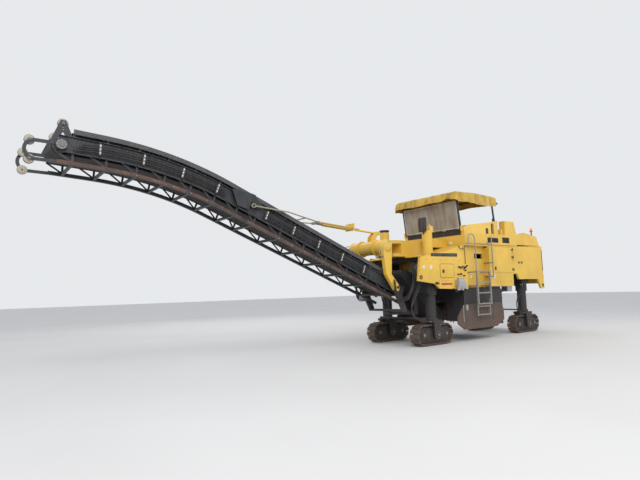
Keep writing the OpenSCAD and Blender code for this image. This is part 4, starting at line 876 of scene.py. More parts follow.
for side in (-1, 1):
    hemBar(bm, side * (half - screen["hemLap"]), side * (half + 0.003), low + 0.03, high - 0.03)
screenHem = piece("windscreenHem", bm, "machine", "hem")
ahead = facing(onScreen(1, 0, 0) - onScreen(0, 0, 0))
out = screen["hem"][1]
spots = [(onScreen(out, -1.04 + 0.26 * i, v), ahead) for i in range(9) for v in screen["studRows"]]
spots += [(onScreen(out, side * 1.069, 0.13 + 0.18 * i), ahead) for i in range(4) for side in (-1, 1)]
screenStuds = repeated("windscreenStuds", boltHead(screen["studs"], 0.004), spots, "machine", "silver")
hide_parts("windscreen")

print("operator's place")
seat = {"y": 0.475, "push": 4.0, "swell": 0.014, "voxel": 0.008, "frames": 20, "channelDepth": 0.007,
        "channelWidth": 0.012, "hip": (-0.375, 3.318), "back": (-0.60, 3.575), "recline": 98,
        "cushion": {"size": (0.40, 0.42), "thick": 0.075, "crown": 0.02, "lines": ((0, 0.07), (1, 0.13))},
        "backrest": {"size": (0.38, 0.34), "thick": 0.06, "crown": 0.015, "lines": ((0, 0.06), (1, 0.12))}}


def padMesh(name, pad):
    (wide, deep), thick, crown = pad["size"], pad["thick"], pad["crown"]
    bm = shape()
    n = 14
    for level in (0, 1):
        for i in range(n + 1):
            for j in range(n + 1):
                a, b = 2 * i / n - 1, 2 * j / n - 1
                x, y = a * math.sqrt(1 - 0.18 * b * b), b * math.sqrt(1 - 0.18 * a * a)
                z = level * (thick + crown * (1 - a * a) * (1 - b * b))
                bm.verts.new((x * deep / 2, y * wide / 2, z))
    bm.verts.ensure_lookup_table()
    m = n + 1
    for level in (0, 1):
        for i in range(n):
            for j in range(n):
                k = level * m * m + i * m + j
                bm.faces.new([bm.verts[q] for q in (k, k + 1, k + m + 1, k + m)])
    rim = [(0, j) for j in range(n)] + [(i, n) for i in range(n)]
    rim += [(n, j) for j in range(n, 0, -1)] + [(i, 0) for i in range(n, 0, -1)]
    for (a, b), (c, d) in zip(rim, rim[1:] + rim[:1]):
        here, there = a * m + b, c * m + d
        bm.faces.new([bm.verts[q] for q in (here, there, m * m + there, m * m + here)])
    bmesh.ops.recalc_face_normals(bm, faces=bm.faces)
    mesh = bpy.data.meshes.new(name)
    bm.to_mesh(mesh)
    bm.free()
    thing = placed(name, mesh)
    remesh = thing.modifiers.new("voxels", "REMESH")
    remesh.mode = "VOXEL"
    remesh.voxel_size = seat["voxel"]
    solid = bpy.data.meshes.new_from_object(thing.evaluated_get(bpy.context.evaluated_depsgraph_get()))
    thing.modifiers.remove(remesh)
    thing.data = solid
    return thing


def inflate(thing):
    start = [v.co.copy() for v in thing.data.vertices]
    cloth = thing.modifiers.new("swell", "CLOTH")
    cloth.settings.use_pressure = True
    cloth.settings.uniform_pressure_force = seat["push"]
    cloth.settings.effector_weights.gravity = 0
    cloth.settings.mass = 0.3
    cloth.point_cache.frame_start = 1
    cloth.point_cache.frame_end = seat["frames"]
    scene = bpy.context.scene
    for frameNow in range(1, seat["frames"] + 1):
        scene.frame_set(frameNow)
    swollen = bpy.data.meshes.new_from_object(thing.evaluated_get(bpy.context.evaluated_depsgraph_get()))
    thing.modifiers.remove(cloth)
    scene.frame_set(1)
    for v, first in zip(swollen.vertices, start):
        step = v.co - first
        if step.length > seat["swell"]:
            v.co = first + step.normalized() * seat["swell"]
        if first.z < 0.004:  # the face that lies on the shell stays flat
            v.co.z = max(v.co.z, -0.004)
    return swollen


def channels(mesh, lines):
    for v in mesh.vertices:
        for axis, value in ((axis, side * value) for axis, value in lines for side in (-1, 1)):
            near = abs(v.co[axis] - value)
            if near < seat["channelWidth"] and v.co.z > 0.04:
                v.co.z -= seat["channelDepth"] * (1 - (near / seat["channelWidth"]) ** 2)


pads = {}
for name in ("cushion", "backrest"):
    thing = padMesh(name + "Pad", seat[name])
    pads[name] = inflate(thing)
    channels(pads[name], seat[name]["lines"])
    bpy.data.objects.remove(thing)
upright = Matrix.Identity(4)
for degrees, axis in ((seat["recline"], "Y"), (180, "X"), (180, "Z")):
    upright = upright @ Matrix.Rotation(math.radians(degrees), 4, axis)
for label, side in (("Left", 1), ("Right", -1)):
    for name, (x, z), turn in (("cushion", seat["hip"], Matrix.Identity(4)), ("backrest", seat["back"], upright)):
        mesh = pads[name].copy()
        mesh.transform(Matrix.Translation(at(x, side * seat["y"], z)) @ turn)
        mesh.shade_smooth()
        thing = placed(name + label, mesh)
        mesh.materials.clear()
        mesh.materials.append(paints["seat"])
        soft = thing.modifiers.new("smooth", "SUBSURF")
        soft.levels = soft.render_levels = 1
        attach(thing, "machine")

station = {"desk": ((0.82, 3.01), (1.05, 3.01), (1.05, 3.40), (0.97, 3.44), (0.80, 3.36), (0.79, 3.30), (0.86, 3.22)),
           "half": 0.70, "podY": 0.90, "podTop": (0.30, 0.86, 3.28, 3.40), "podFoot": (0.36, 0.76, 3.011, 3.29),
           "seatPost": ((3.011, 0.13), (3.06, 0.12), (3.10, 0.085), (3.14, 0.098), (3.18, 0.085), (3.27, 0.10)),
           "armrest": ((-0.60, 0.215, 3.40), (-0.58, 0.235, 3.50), (-0.50, 0.24, 3.525), (-0.28, 0.24, 3.525)),
           "wheelY": 0.40, "wheel": 0.17, "spokes": (0.4, 2.5, 4.6), "levers": (0.42, 0.55, 0.68)}
bm = shape()
plate(bm, station["desk"], -station["half"], station["half"], soft=0.012)
for side in (-1, 1):
    y = side * station["podY"]
    x0, x1, z0, z1 = station["podTop"]
    block(bm, at(x0, y - 0.07, z0), at(x1, y + 0.07, z1), soft=0.02)
    x0, x1, z0, z1 = station["podFoot"]
    block(bm, at(x0, y - 0.05, z0), at(x1, y + 0.05, z1), soft=0.012)
desk = piece("stationDesk", bm, "machine", "plastic")
bm = shape()
for side in (-1, 1):
    y = side * seat["y"]
    tube(bm, [at(-0.375, y, z) for z, r in station["seatPost"]], [r for z, r in station["seatPost"]], 20)
    block(bm, at(-0.57, y - 0.19, 3.262), at(-0.17, y + 0.19, 3.3115), soft=0.014)
    block(bm, at(-0.655, y - 0.18, 3.36), at(-0.607, y + 0.18, 3.70), soft=0.016)
    block(bm, at(-0.645, y - 0.05, 3.27), at(-0.56, y + 0.05, 3.42), soft=0.012)
    for hand in (-1, 1):
        tube(bm, curved([at(x, y + hand * out, z) for x, out, z in station["armrest"]], 12), 0.017, 10)
piece("seatShells", bm, "machine", "plastic", sharp=45)
bm = shape()
for side in (-1, 1):
    y = side * station["wheelY"]
    hub = at(0.66, y, 3.53)
    lean = Vector((-0.55, 0, 0.83)).normalized()
    tube(bm, [at(0.84, y, 3.26), at(0.75, y, 3.40), hub], [0.032, 0.026, 0.022], 12)
    a, b = Vector((0, 1, 0)), lean.cross(Vector((0, 1, 0)))
    tube(bm, circle(hub, a, b, station["wheel"], 28, 29), 0.013, 10)
    for t in station["spokes"]:
        tube(bm, [hub, hub + (a * math.cos(t) + b * math.sin(t)) * (station["wheel"] - 0.005)], 0.009, 8)
    turned(bm, hub - lean * 0.02, lean, [(0, 0.03), (0.02, 0.045), (0.035, 0.04), (0.04, 0.02)], 18)
    for x in station["levers"]:
        turned(bm, at(x, side * station["podY"], 3.40), (0, 0, 1),
               [(-0.002, 0.03), (0.006, 0.028), (0.012, 0.012), (0.075, 0.010), (0.085, 0.019), (0.115, 0.022),
                (0.13, 0.014)], 14)
piece("wheelsAndLevers", bm, "machine", "rubber", sharp=50)
bm = shape()
turned(bm, (0, 0, 0), (0, 0, 1),
       [(-0.002, 0.013), (0.003, 0.013), (0.0035, 0.010), (0.008, 0.0095), (0.0095, 0.006)], 12)
tilt = facing((-0.42, 0, 0.9))
spots = []
for i in range(4):
    for j in range(25):
        y = -0.60 + 0.05 * j
        if (i + j) % 3 and abs(y) > 0.12:
            spots.append((at(0.84 + 0.034 * i, y, 3.372 + 0.016 * i), tilt))
repeated("stationButtons", bm, spots, "machine", "white", size=0.9, spread=0.15, seed=5)
bm = shape()
block(bm, at(0.81, -0.11, 3.43), at(0.84, 0.11, 3.56), soft=0.008)
tube(bm, [at(0.87, 0, 3.39), at(0.835, 0, 3.45)], 0.016, 10)
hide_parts("operator_station")
piece("stationScreen", bm, "machine", "glass")

print("crawler details")
crawler = {"x": 2.525, "y": 0.875, "flat": 0.991, "chain": 0.2585, "axis": 0.3085, "pitch": 0.15026, "count": 24,
           "plate": 0.026, "shoeBolts": ((-0.042, 0.042), (-0.115, -0.055, 0.055, 0.115)), "axle": 0.3,
           "forkOut": 0.235, "pinOut": 0.253, "capOut": 0.15, "forkBolts": 0.098, "yoke": 0.642, "yokeBolts": 0.168,
           "guard": 0.315, "guardFace": 0.1235,
           "panels": ((0.11, 0.011, -0.15, 0.155, 0.03), (0.085, 0.02, -0.12, 0.125, 0.02))}


def loopAt(u):  # x, z and turn at u along the chain, from the top run on
    flat, r = crawler["flat"], crawler["chain"]
    bend = math.pi * r
    if u < flat:
        return -flat / 2 + u, r, 0.0
    if u < flat + bend:
        t = (u - flat) / r
        return flat / 2 + r * math.sin(t), r * math.cos(t), -t
    if u < 2 * flat + bend:
        return flat / 2 - (u - flat - bend), -r, math.pi
    t = (u - 2 * flat - bend) / r
    return -flat / 2 - r * math.sin(t), -r * math.cos(t), math.pi - t


def dressCrawler(body, label, cx, cy):
    bolts = []
    for i in range(crawler["count"]):
        x, z, a = loopAt((i + 0.5) * crawler["pitch"])
        out = Vector((-math.sin(a), 0, math.cos(a)))
        ahead = Vector((math.cos(a), 0, math.sin(a)))
        foot = at(cx + x, cy, crawler["axis"] + z) + out * crawler["plate"]
        along, across = crawler["shoeBolts"]
        bolts += [(foot + ahead * du + Vector((0, dy, 0)), facing(out)) for du in along for dy in across]
    repeated("shoeBolts" + label, boltHead(0.0085, 0.007), bolts, body, "track")
    bm = shape()
    for side in (-1, 1):
        turned(bm, at(cx, cy + side * crawler["pinOut"], crawler["axle"]), (0, side, 0),
               [(-0.004, 0.044), (0.004, 0.044), (0.006, 0.041), (0.0065, 0.022), (0.002, 0.018), (0.0015, 0.008)], 28)
        for k in (-1, 1):  # sprocket and idler caps on the track frame
            turned(bm, at(cx + k * crawler["flat"] / 2, cy + side * crawler["capOut"], crawler["axis"]), (0, side, 0),
                   [(-0.003, 0.05), (0.006, 0.047), (0.01, 0.03), (0.014, 0.014)], 24)
    piece("axlePins" + label, bm, body, "pin")
    places = []
    for side in (-1, 1):
        y, r = cy + side * crawler["forkOut"], crawler["forkBolts"]
        turns = [math.pi / 8 + k * math.pi / 4 for k in range(8)]
        spots = [at(cx + r * math.cos(a), y, crawler["axle"] + r * math.sin(a)) for a in turns]
        spots += [at(cx + x, y, crawler["yoke"] - 0.06) for x in (-0.11, 0.11)]
        places += [(spot, facing((0, side, 0))) for spot in spots]
    ring = circle(at(cx, cy, crawler["yoke"] + 0.11), Vector((1, 0, 0)), Vector((0, 1, 0)), crawler["yokeBolts"], 12)
    places += [(spot, (0, 0, 0)) for spot in ring]
    repeated("yokeBolts" + label, boltHead(0.013, 0.01), places, body, "pin")
    bm = shape()
    for side in (-1, 1):  # guards over the track frame, with a pressed rim
        y = cy + side * crawler["guardFace"]
        for k in (-1, 1):
            mid = cx + k * crawler["guard"]
            for half, out, low, high, soft in crawler["panels"]:
                y0, y1 = sorted((y, y + side * out))
                block(bm, at(mid - half, y0, crawler["axis"] + low), at(mid + half, y1, crawler["axis"] + high), soft)
    piece("frameGuards" + label, bm, body, "frame")


for end, sx in (("front", 1), ("rear", -1)):
    for hand, sy in (("left", 1), ("right", -1)):
        dressCrawler("crawler_" + end + "_" + hand, end.title() + hand.title(), sx * crawler["x"], sy * crawler["y"])

print("body trim")
wall = 1.25


def rounded(x0, z0, x1, z1, r=0.03, n=5):
    points = []
    for cx, cz, a0 in ((x1 - r, z1 - r, 0), (x0 + r, z1 - r, 90), (x0 + r, z0 + r, 180), (x1 - r, z0 + r, 270)):
        for k in range(n + 1):
            a = math.radians(a0 + 90 * k / n)
            points.append((cx + r * math.cos(a), cz + r * math.sin(a)))
    return points


def around(u, v, radius, count):
    turns = [2 * math.pi * k / count for k in range(count + 1)]
    return [(u + radius * math.cos(a), v + radius * math.sin(a)) for a in turns]


def bothPlates(bm, outline, y0, y1, soft=0.001):
    for side in (-1, 1):
        plate(bm, outline, side * y0, side * y1, soft)


def bothTubes(bm, points, radius, sides=8, count=None):
    for side in (-1, 1):
        line = [at(x, side * y, z) for x, y, z in points]
        tube(bm, curved(line, count) if count else line, radius, sides)


def bothTurned(bm, x, y, z, profile, sides=20):
    for side in (-1, 1):
        turned(bm, at(x, side * y, z), (0, side, 0), profile, sides)


labels = {"strip": ((1.63, 2.56), (2.86, 2.545), (2.86, 2.64), (1.63, 2.665)),
          "discs": ((3.19, 2.245, 0.052), (2.876, 2.24, 0.06)),
          "squares": ((-0.35, 1.90, -0.22, 2.03), (0.93, 1.91, 1.02, 2.0)),
          "reflector": (1.955, 1.722, 2.438, 1.778)}
bm = shape()
bothPlates(bm, labels["strip"], wall + 0.0002, wall + 0.0022)
piece("sideStrip", bm, "machine", "plastic")
bm = shape()
for x, z, r in labels["discs"]:
    bothTurned(bm, x, wall, z, [(0.0002, r * 0.5), (0.0004, r), (0.0018, r), (0.002, r * 0.5)], 36)
for corners in labels["squares"]:
    bothPlates(bm, rounded(*corners, 0.012), wall + 0.0002, wall + 0.0018)
piece("blankLabels", bm, "machine", "white")
bm = shape()
bothPlates(bm, rounded(*labels["reflector"], 0.008), wall + 0.0002, wall + 0.0052)
piece("redReflectors", bm, "machine", "red")

trim = {"hatch": (1.83, 1.935, 2.47, 2.33), "seal": 0.006, "bar": (1.262, 1.27), "barFeet": (2.90, 2.64, 2.37),
        "handle": ((1.54, wall, 2.88), (1.54, 1.275, 2.87), (1.535, 1.29, 2.83), (1.48, 1.292, 2.80),
                   (1.38, 1.292, 2.80), (1.33, 1.275, 2.82), (1.32, wall, 2.83)),
        "handleFeet": ((1.54, 2.88), (1.32, 2.83)), "latch": (2.30, 2.075, 2.375, 2.17),
        "tailStrip": (-3.445, 2.16, -3.415, 2.92), "vents": (-1.84, -2.02), "eyes": ((3.33, 1.95), (-3.38, 1.64)),
        "step": ((2.72, 1.815), (2.60, 1.815), (2.54, 1.77), (2.54, 1.745), (2.72, 1.745))}
x0, z0, x1, z1 = trim["hatch"]
bm = shape()
bothPlates(bm, rounded(x0, z0, x1, z1, 0.05), wall + 0.0003, wall + 0.0045)
piece("frontHatch", bm, "machine", "yellow")
bm = shape()
# black rubber seal round the raised front hatch; its black is partly painted shade, standing in for the shadow line
# along the hatch's edge
lip = trim["seal"]
outline = rounded(x0 - lip, z0 - lip, x1 + lip, z1 + lip, 0.055)
bothTubes(bm, [(x, wall + 0.002, z) for x, z in outline + outline[:1]], 0.005, 6)
x, y = trim["bar"]
bothTubes(bm, [(x, y, 2.92), (x, y, 2.35)], 0.009)
for z in trim["barFeet"]:
    bothTubes(bm, [(x, wall, z), (x, y, z)], 0.006, 6)
bothTubes(bm, trim["handle"], 0.010, 8, 26)
for x, z in trim["handleFeet"]:
    bothTurned(bm, x, wall, z, [(-0.002, 0.024), (0.005, 0.024), (0.008, 0.018)], 16)
bothPlates(bm, rounded(*trim["latch"], 0.014), wall + 0.004, wall + 0.022, 0.004)
bothPlates(bm, rounded(*trim["tailStrip"], 0.006), wall + 0.0002, wall + 0.008, 0.002)
bothPlates(bm, trim["step"], wall + 0.0003, wall + 0.01, 0.002)
for x in trim["vents"]:
    bothPlates(bm, rounded(x - 0.05, 2.40, x + 0.05, 2.47, 0.01), wall + 0.0002, wall + 0.004)
for x, z in trim["eyes"]:
    for side in (-1, 1):
        tube(bm, [at(u, side * (wall + 0.002), v) for u, v in around(x, z, 0.05, 24)], 0.012, 8)
piece("blackTrim", bm, "machine", "plastic", sharp=45)

fittings = {"spots": (  # x, z, radius, reach
    (1.578, 2.247, 0.026, 0.05), (1.418, 2.26, 0.022, 0.06), (1.291, 2.241, 0.03, 0.045), (1.188, 2.29, 0.024, 0.04),
    (1.288, 2.15, 0.024, 0.055), (1.644, 2.03, 0.024, 0.05), (1.503, 2.04, 0.026, 0.045), (1.50, 2.22, 0.016, 0.04),
    (1.35, 2.20, 0.014, 0.05), (1.36, 1.99, 0.022, 0.05)),
    "lead": ((1.60, 1.285, 2.245), (1.50, 1.30, 2.235), (1.42, 1.295, 2.25), (1.33, 1.30, 2.235), (1.24, 1.292, 2.25),
             (1.19, 1.28, 2.285))}
bm = shape()
for x, z, r, out in fittings["spots"]:
    bothTurned(bm, x, wall, z, [(-0.002, r * 1.25), (0.005, r * 1.25), (0.0055, r * 0.8), (out * 0.5, r * 0.8),
                                (out * 0.52, r), (out * 0.95, r), (out, r * 0.75)], 6 if r < 0.025 else 16)
bothTubes(bm, fittings["lead"], 0.008, 8, 20)
piece("testFittings", bm, "machine", "hose", sharp=40)
filters = {"face": 1.371, "cover": (1.46, 1.60, 1.79, 1.88), "bowl": (1.36, 1.585, 1.425, 1.76),
           "screws": ((1.49, 1.645), (1.76, 1.645), (1.49, 1.835), (1.76, 1.835)),
           "pipes": ((0.014, 20, ((1.46, 1.30, 1.56), (1.42, 1.32, 1.52), (1.36, 1.31, 1.53), (1.31, 1.28, 1.60),
                                  (1.30, 1.262, 1.72))),
                     (0.012, 16, ((1.76, 1.30, 1.56), (1.80, 1.315, 1.51), (1.86, 1.30, 1.53), (1.90, 1.262, 1.62))))}
bm = shape()
bothPlates(bm, rounded(*filters["cover"], 0.02), 1.3652, filters["face"], 0.002)
bothPlates(bm, rounded(*filters["bowl"], 0.02), 1.2505, 1.34, 0.008)
for x, z in filters["screws"]:
    bothTurned(bm, x, filters["face"], z, [(-0.001, 0.012), (0.006, 0.012), (0.008, 0.006)], 6)
bothTurned(bm, 1.62, 1.365, 1.66, [(0.0, 0.03), (0.02, 0.03), (0.021, 0.02), (0.03, 0.018)], 18)
piece("filterCover", bm, "machine", "silver", sharp=40)
bm = shape()
for radius, count, points in filters["pipes"]:
    bothTubes(bm, points, radius, 8, count)
piece("filterPipes", bm, "machine", "hose", sharp=60)

print("windows, grilles and vents")
openings = {"louvred": ((-0.73, 3.075, -0.09, 3.235), (-1.40, 3.085, -0.96, 3.275)),
            "plain": (-0.18, 3.35, -0.02, 3.53),
            "slot": (-0.455, 3.372, -0.362, 3.69), "pane": 1.1803, "louvreY": 1.195, "louvrePitch": 0.042,
            "louvreTurn": 0.45, "barY": 1.203, "bar": 0.004, "frameY": 1.2105, "frame": 0.006}
slats = {"x": -3.486, "z": 2.60, "first": -0.87, "pitch": 0.058, "count": 31, "turn": 0.5}
bm = shape()
for x0, z0, x1, z1 in (*openings["louvred"], openings["plain"]):
    x0, z0, x1, z1 = x0 + 0.001, z0 + 0.001, x1 - 0.001, z1 - 0.001
    bothPlates(bm, [(x0, z0), (x1, z0), (x1, z1), (x0, z1)], openings["pane"], 1.184, 0)
bothPlates(bm, rounded(*openings["slot"], 0.046, 8), openings["pane"], 1.187)
piece("wallPanes", bm, "machine", "plastic")
places = []
for side in (-1, 1):
    for x0, z0, x1, z1 in openings["louvred"]:
        count = int((x1 - x0) / openings["louvrePitch"])
        y, z = side * openings["louvreY"], (z0 + z1) / 2
        spots = [at(x0 + (i + 0.5) * (x1 - x0) / count, y, z) for i in range(count)]
        places += [(spot, (0, 0, side * openings["louvreTurn"])) for spot in spots]
bm = shape()
block(bm, (-0.003, -0.0095, -0.078), (0.003, 0.0095, 0.078), soft=0.001)
repeated("wallLouvres", bm, places, "machine", "black")
bm = shape()
for x0, z0, x1, z1 in openings["louvred"]:
    for z in ((2 * z0 + z1) / 3, (z0 + 2 * z1) / 3):
        bothTubes(bm, [(x0 + 0.002, openings["barY"], z), (x1 - 0.002, openings["barY"], z)], openings["bar"], 6)
outline = rounded(-0.475, 3.355, -0.345, 3.705, 0.062, 8) + [(-0.345, 3.643)]
bothTubes(bm, [(x, openings["frameY"], z) for x, z in outline], openings["frame"], 6)
piece("louvreBars", bm, "machine", "black", sharp=60)
places = [(at(slats["x"], slats["first"] + slats["pitch"] * i, slats["z"]), (0, 0, 0)) for i in range(slats["count"])]
bm = shape()
block(bm, (-0.004, -0.022, -0.335), (0.004, 0.022, 0.335), soft=0.002)
bm.transform(Matrix.Rotation(slats["turn"], 4, "Z"))
repeated("rearSlats", bm, places, "machine", "black")

print("hoses")
hoses = {
    "steps": 24, "wide": {"portal": 0.032, "track": 0.028, "boom": 0.026},
    "apart": {"portal": (0, 0.055, 0), "frontLeft": (0, 0.06, 0), "frontRight": (0, 0.05, 0), "rear": (0, 0.06, 0)},
    # rows are x, y, z of the first hose, and where the next one isn't just apart by the above, its own steps
    "portal": ((2.832, 0.56, 2.46), (2.90, 0.562, 2.455), (2.985, 0.60, 2.38), (3.02, 0.66, 2.22), (3.06, 0.72, 2.01),
               (3.18, 0.77, 1.70, 0, 0.02, -0.02), (3.40, 0.79, 1.45, 0, 0.02, -0.04),
               (3.63, 0.80, 1.385, 0, 0.02, -0.04), (3.80, 0.80, 1.42, 0, 0.02, -0.04),
               (3.895, 0.79, 1.54, 0, 0.02, -0.02), (3.905, 0.785, 1.66, 0, 0.02, 0.022),
               (3.885, 0.762, 1.75, 0, 0, 0.044), (3.86, 0.732, 1.81, 0, 0, 0.044)),
    "portalBend": ((2.98, 0.70, 2.2), (3.45, 0.78, 1.9)),
    "frontLeft": ((2.832, 0.98, 2.60), (2.90, 0.98, 2.597), (2.995, 0.985, 2.52), (3.035, 0.99, 2.36),
                  (3.06, 0.99, 2.12), (3.13, 0.995, 1.83), (3.29, 1.0, 1.53), (3.45, 1.0, 1.29),
                  (3.51, 1.01, 1.10, 0.06, 0.06, 0), (3.44, 1.01, 0.92, 0.06, 0.06, -0.06),
                  (3.24, 1.01, 0.80, 0, 0.06, -0.06), (3.0, 1.02, 0.735, 0, 0, -0.024), (2.82, 0.985, 0.685),
                  (2.737, 0.985, 0.682)),
    "frontRight": ((2.832, 0.625, 1.74), (2.89, 0.625, 1.738), (2.972, 0.625, 1.665), (2.99, 0.625, 1.50),
                   (2.935, 0.625, 1.27), (2.835, 0.625, 1.06), (2.735, 0.645, 0.90), (2.695, 0.67, 0.80),
                   (2.69, 0.675, 0.724)),
    "frontBend": {"Left": (-7, -3), "Right": (3, -2)}, "frontEnd": {"Left": (1, 0, 0), "Right": (0, 0, 1)},
    "rear": ((-2.30, 0.99, 1.698), (-2.295, 0.99, 1.63), (-2.22, 0.99, 1.46), (-2.08, 0.99, 1.26),
             (-1.975, 0.99, 1.07), (-1.97, 0.99, 0.90), (-2.06, 0.99, 0.76, 0, 0.06, -0.018),
             (-2.19, 0.99, 0.695, 0, 0.06, -0.012), (-2.313, 0.99, 0.682)),
    "boom": ((4.03, 0.7315, 2.97), (4.03, 0.80, 2.972), (4.065, 0.88, 2.97), (4.16, 0.915, 2.95), (4.28, 0.895, 2.90),
             (4.385, 0.85, 2.82), (4.44, 0.79, 2.71), (4.405, 0.735, 2.61), (4.32, 0.70, 2.565), (4.232, 0.68, 2.56))}
ends = {}


def strand(name, side, k=0):
    points = []
    for x, y, z, *own in hoses[name]:
        dx, dy, dz = own or hoses["apart"].get(name, (0, 0, 0))
        points.append(at(x + k * dx, side * (y + k * dy), z + k * dz))
    return points


def hose(name, points, diameter, body, to=None, material="hose"):
    line = curved(points, hoses["steps"])
    bm = shape()
    tube(bm, line, diameter / 2, 12)
    thing = piece(name, bm, None if to else body, material, sharp=60)
    if to:
        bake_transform(thing)


def coupled(name, points, diameter, body, to, leaves, meets, radius):
    hose(name, points, diameter, body, to=to)
    ends.setdefault(body, []).append((points[0], leaves, radius))
    ends.setdefault(to, []).append((points[-1], meets, radius))


for hand, side in (("Left", 1), ("Right", -1)):
    for k in range(3):
        coupled("portalHose" + hand + str(k + 1), strand("portal", side, k), hoses["wide"]["portal"], "machine",
                "slew_portal", (1, 0, 0), (0, side, 0), 0.024)
    for k in range(2):
        route = strand("front" + hand, side, k)
        coupled("trackHoseFront" + hand + str(k + 1), route, hoses["wide"]["track"], "machine",
                "crawler_front_" + hand.lower(), (1, 0, 0), hoses["frontEnd"][hand], 0.021)
        route = strand("rear", side, k)
        coupled("trackHoseRear" + hand + str(k + 1), route, hoses["wide"]["track"], "machine",
                "crawler_rear_" + hand.lower(), (0, 0, -1), (1, 0, 0), 0.021)
    route = strand("boom", side)
    hose("boomHose" + hand, route, hoses["wide"]["boom"], "slew_portal", material="paleHose")
    ends["slew_portal"] += [(route[0], (0, side, 0), 0.02), (route[-1], (1, 0, 0), 0.02)]
for body, spots in ends.items():
    bm = shape()
    for spot, direction, r in spots:
        turned(bm, spot, direction, [(-0.002, r * 1.15), (0.012, r * 1.15), (0.013, r * 0.95), (0.035, r * 0.92),
                                     (0.037, r * 0.78), (0.06, r * 0.76)], 12)
    piece("couplings" + "".join(w.title() for w in body.split("_")), bm, body, "pin", sharp=40)

valves = {"count": 6, "first": 0.56, "pitch": 0.07, "half": 0.032, "x": (2.8305, 2.90), "z": (2.07, 2.33),
          "loops": ((0.60, 2.12, 2.24), (0.74, 2.26, 2.12)), "loop": 0.009,
          "knob": ((-0.002, 0.022), (0.02, 0.022), (0.021, 0.014), (0.05, 0.013), (0.052, 0.02), (0.06, 0.018)),
          "nut": ((-0.002, 0.024), (0.03, 0.024), (0.032, 0.016), (0.055, 0.015)),
          "port": ((-0.002, 0.018), (0.02, 0.018), (0.022, 0.012), (0.045, 0.011))}
bm = shape()
for side in (-1, 1):  # valve bank in the front niche
    (x0, x1), (z0, z1), half = valves["x"], valves["z"], valves["half"]
    for k in range(valves["count"]):
        y = side * (valves["first"] + valves["pitch"] * k)
        block(bm, at(x0, y - half, z0), at(x1, y + half, z1), soft=0.006)
        turned(bm, at(2.865, y, z1), (0, 0, 1), valves["knob"], 12)
        turned(bm, at(x1, y, 2.13), (1, 0, 0), valves["nut"], 6)
        turned(bm, at(x1, y, 2.26), (1, 0, 0), valves["port"], 12)
    for y, z0, z1 in valves["loops"]:
        line = ((2.95, y, z0), (3.0, y + 0.02, z0 + 0.02), (3.0, y + 0.12, z1), (2.95, y + 0.14, z1))
        tube(bm, curved([at(x, side * y, z) for x, y, z in line], 14), valves["loop"], 8)
piece("valveBank", bm, "machine", "pin", sharp=40)

print("lamps, mirror and small fittings")
lamps = {"tower": (2.405, 0.875), "box": ((2.355, 0.815, 3.4805), (2.455, 0.935, 3.49)), "work": (1.1503, 0.69, 3.035),
         "front": (2.834, -0.824, 2.369), "frontRing": 0.055, "tail": ((2.115, 0.034), (2.01, 0.03)), "tailY": 1.045,
         "beacon": (-3.19, 1.05),
         "workShape": ((0, 0.05), (0.012, 0.056), (0.02, 0.05), (0.026, 0.03)),
         "footShape": ((0.0, 0.045), (0.03, 0.045), (0.032, 0.022), (0.19, 0.02), (0.195, 0.05), (0.215, 0.054),
                       (0.218, 0.05)),
         "lensShape": ((0, 0.047), (0.02, 0.05), (0.075, 0.046), (0.10, 0.036), (0.112, 0.014))}
mirror = {"y": 0.875, "z": 3.51, "shell": (0.728, 3.293, 1.022, 3.727),
          "depths": ((2.706, 0.0), (2.722, 0.0), (2.731, -0.06)), "glass": (0.745, 3.31, 1.005, 3.71),
          "glassX": (2.7055, 2.7035)}
intake = {"at": (2.525, -0.875, 3.4705), "shape": ((0, 0.118), (0.004, 0.125), (0.024, 0.125), (0.0245, 0.152),
                                                   (0.031, 0.16), (0.070, 0.16), (0.080, 0.148), (0.0805, 0.05))}
bm = shape()
block(bm, *[at(*p) for p in lamps["box"]], soft=0.004)
turned(bm, at(*lamps["tower"], 3.489), (0, 0, 1), [(-0.002, 0.03), (0.006, 0.028), (0.008, 0.012)], 16)
piece("towerLampBox", bm, "machine", "yellow")
bm = shape()
turned(bm, at(*lamps["tower"], 3.486), (0, 0, 1), [(-0.001, 0.016), (0.03, 0.018), (0.045, 0.014), (0.052, 0.005)], 20)
x, y, z = lamps["work"]
for side in (1, -1):
    turned(bm, at(x, side * y, z), (1, 0, 0), lamps["workShape"], 28)
x, y, z = lamps["front"]
tube(bm, [at(x, u, v) for u, v in around(y, z, lamps["frontRing"], 24)], 0.008, 8)
piece("whiteLamps", bm, "machine", "white", sharp=50)
bm = shape()
profile = rounded(*mirror["shell"], 0.06, 7)
skinned(bm, [[bm.verts.new(at(x, y + (y - mirror["y"]) * s, z + (z - mirror["z"]) * s)) for y, z in profile]
             for x, s in mirror["depths"]])
block(bm, at(2.6765, 0.856, 3.232), at(2.706, 0.894, 3.388), soft=0.006)
turned(bm, at(*intake["at"]), (0, 0, 1), intake["shape"], 36)
mirrorShell = piece("mirrorShell", bm, "machine", "plastic")
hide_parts("tower_fittings")
bm = shape()
profile = rounded(*mirror["glass"], 0.05, 7)
skinned(bm, [[bm.verts.new(at(x, y, z)) for y, z in profile] for x in mirror["glassX"]])
piece("mirrorGlass", bm, "machine", "glass")
bm = shape()
skirt = ((1.1505, 3.27), (1.157, 3.27), (1.157, 3.402), (1.178, 3.446), (1.171, 3.45), (1.1505, 3.405))
plate(bm, skirt, -1.085, 1.085, 0.001)
piece("screenSkirt", bm, "machine", "rubber")
bm = shape()
turned(bm, at(*lamps["beacon"], 3.40), (0, 0, 1), lamps["footShape"], 24)
piece("beaconFoot", bm, "engine_hood", "plastic")
bm = shape()
turned(bm, at(*lamps["beacon"], 3.6175), (0, 0, 1), lamps["lensShape"], 28)
piece("beaconLens", bm, "engine_hood", "amber")
bm = shape()
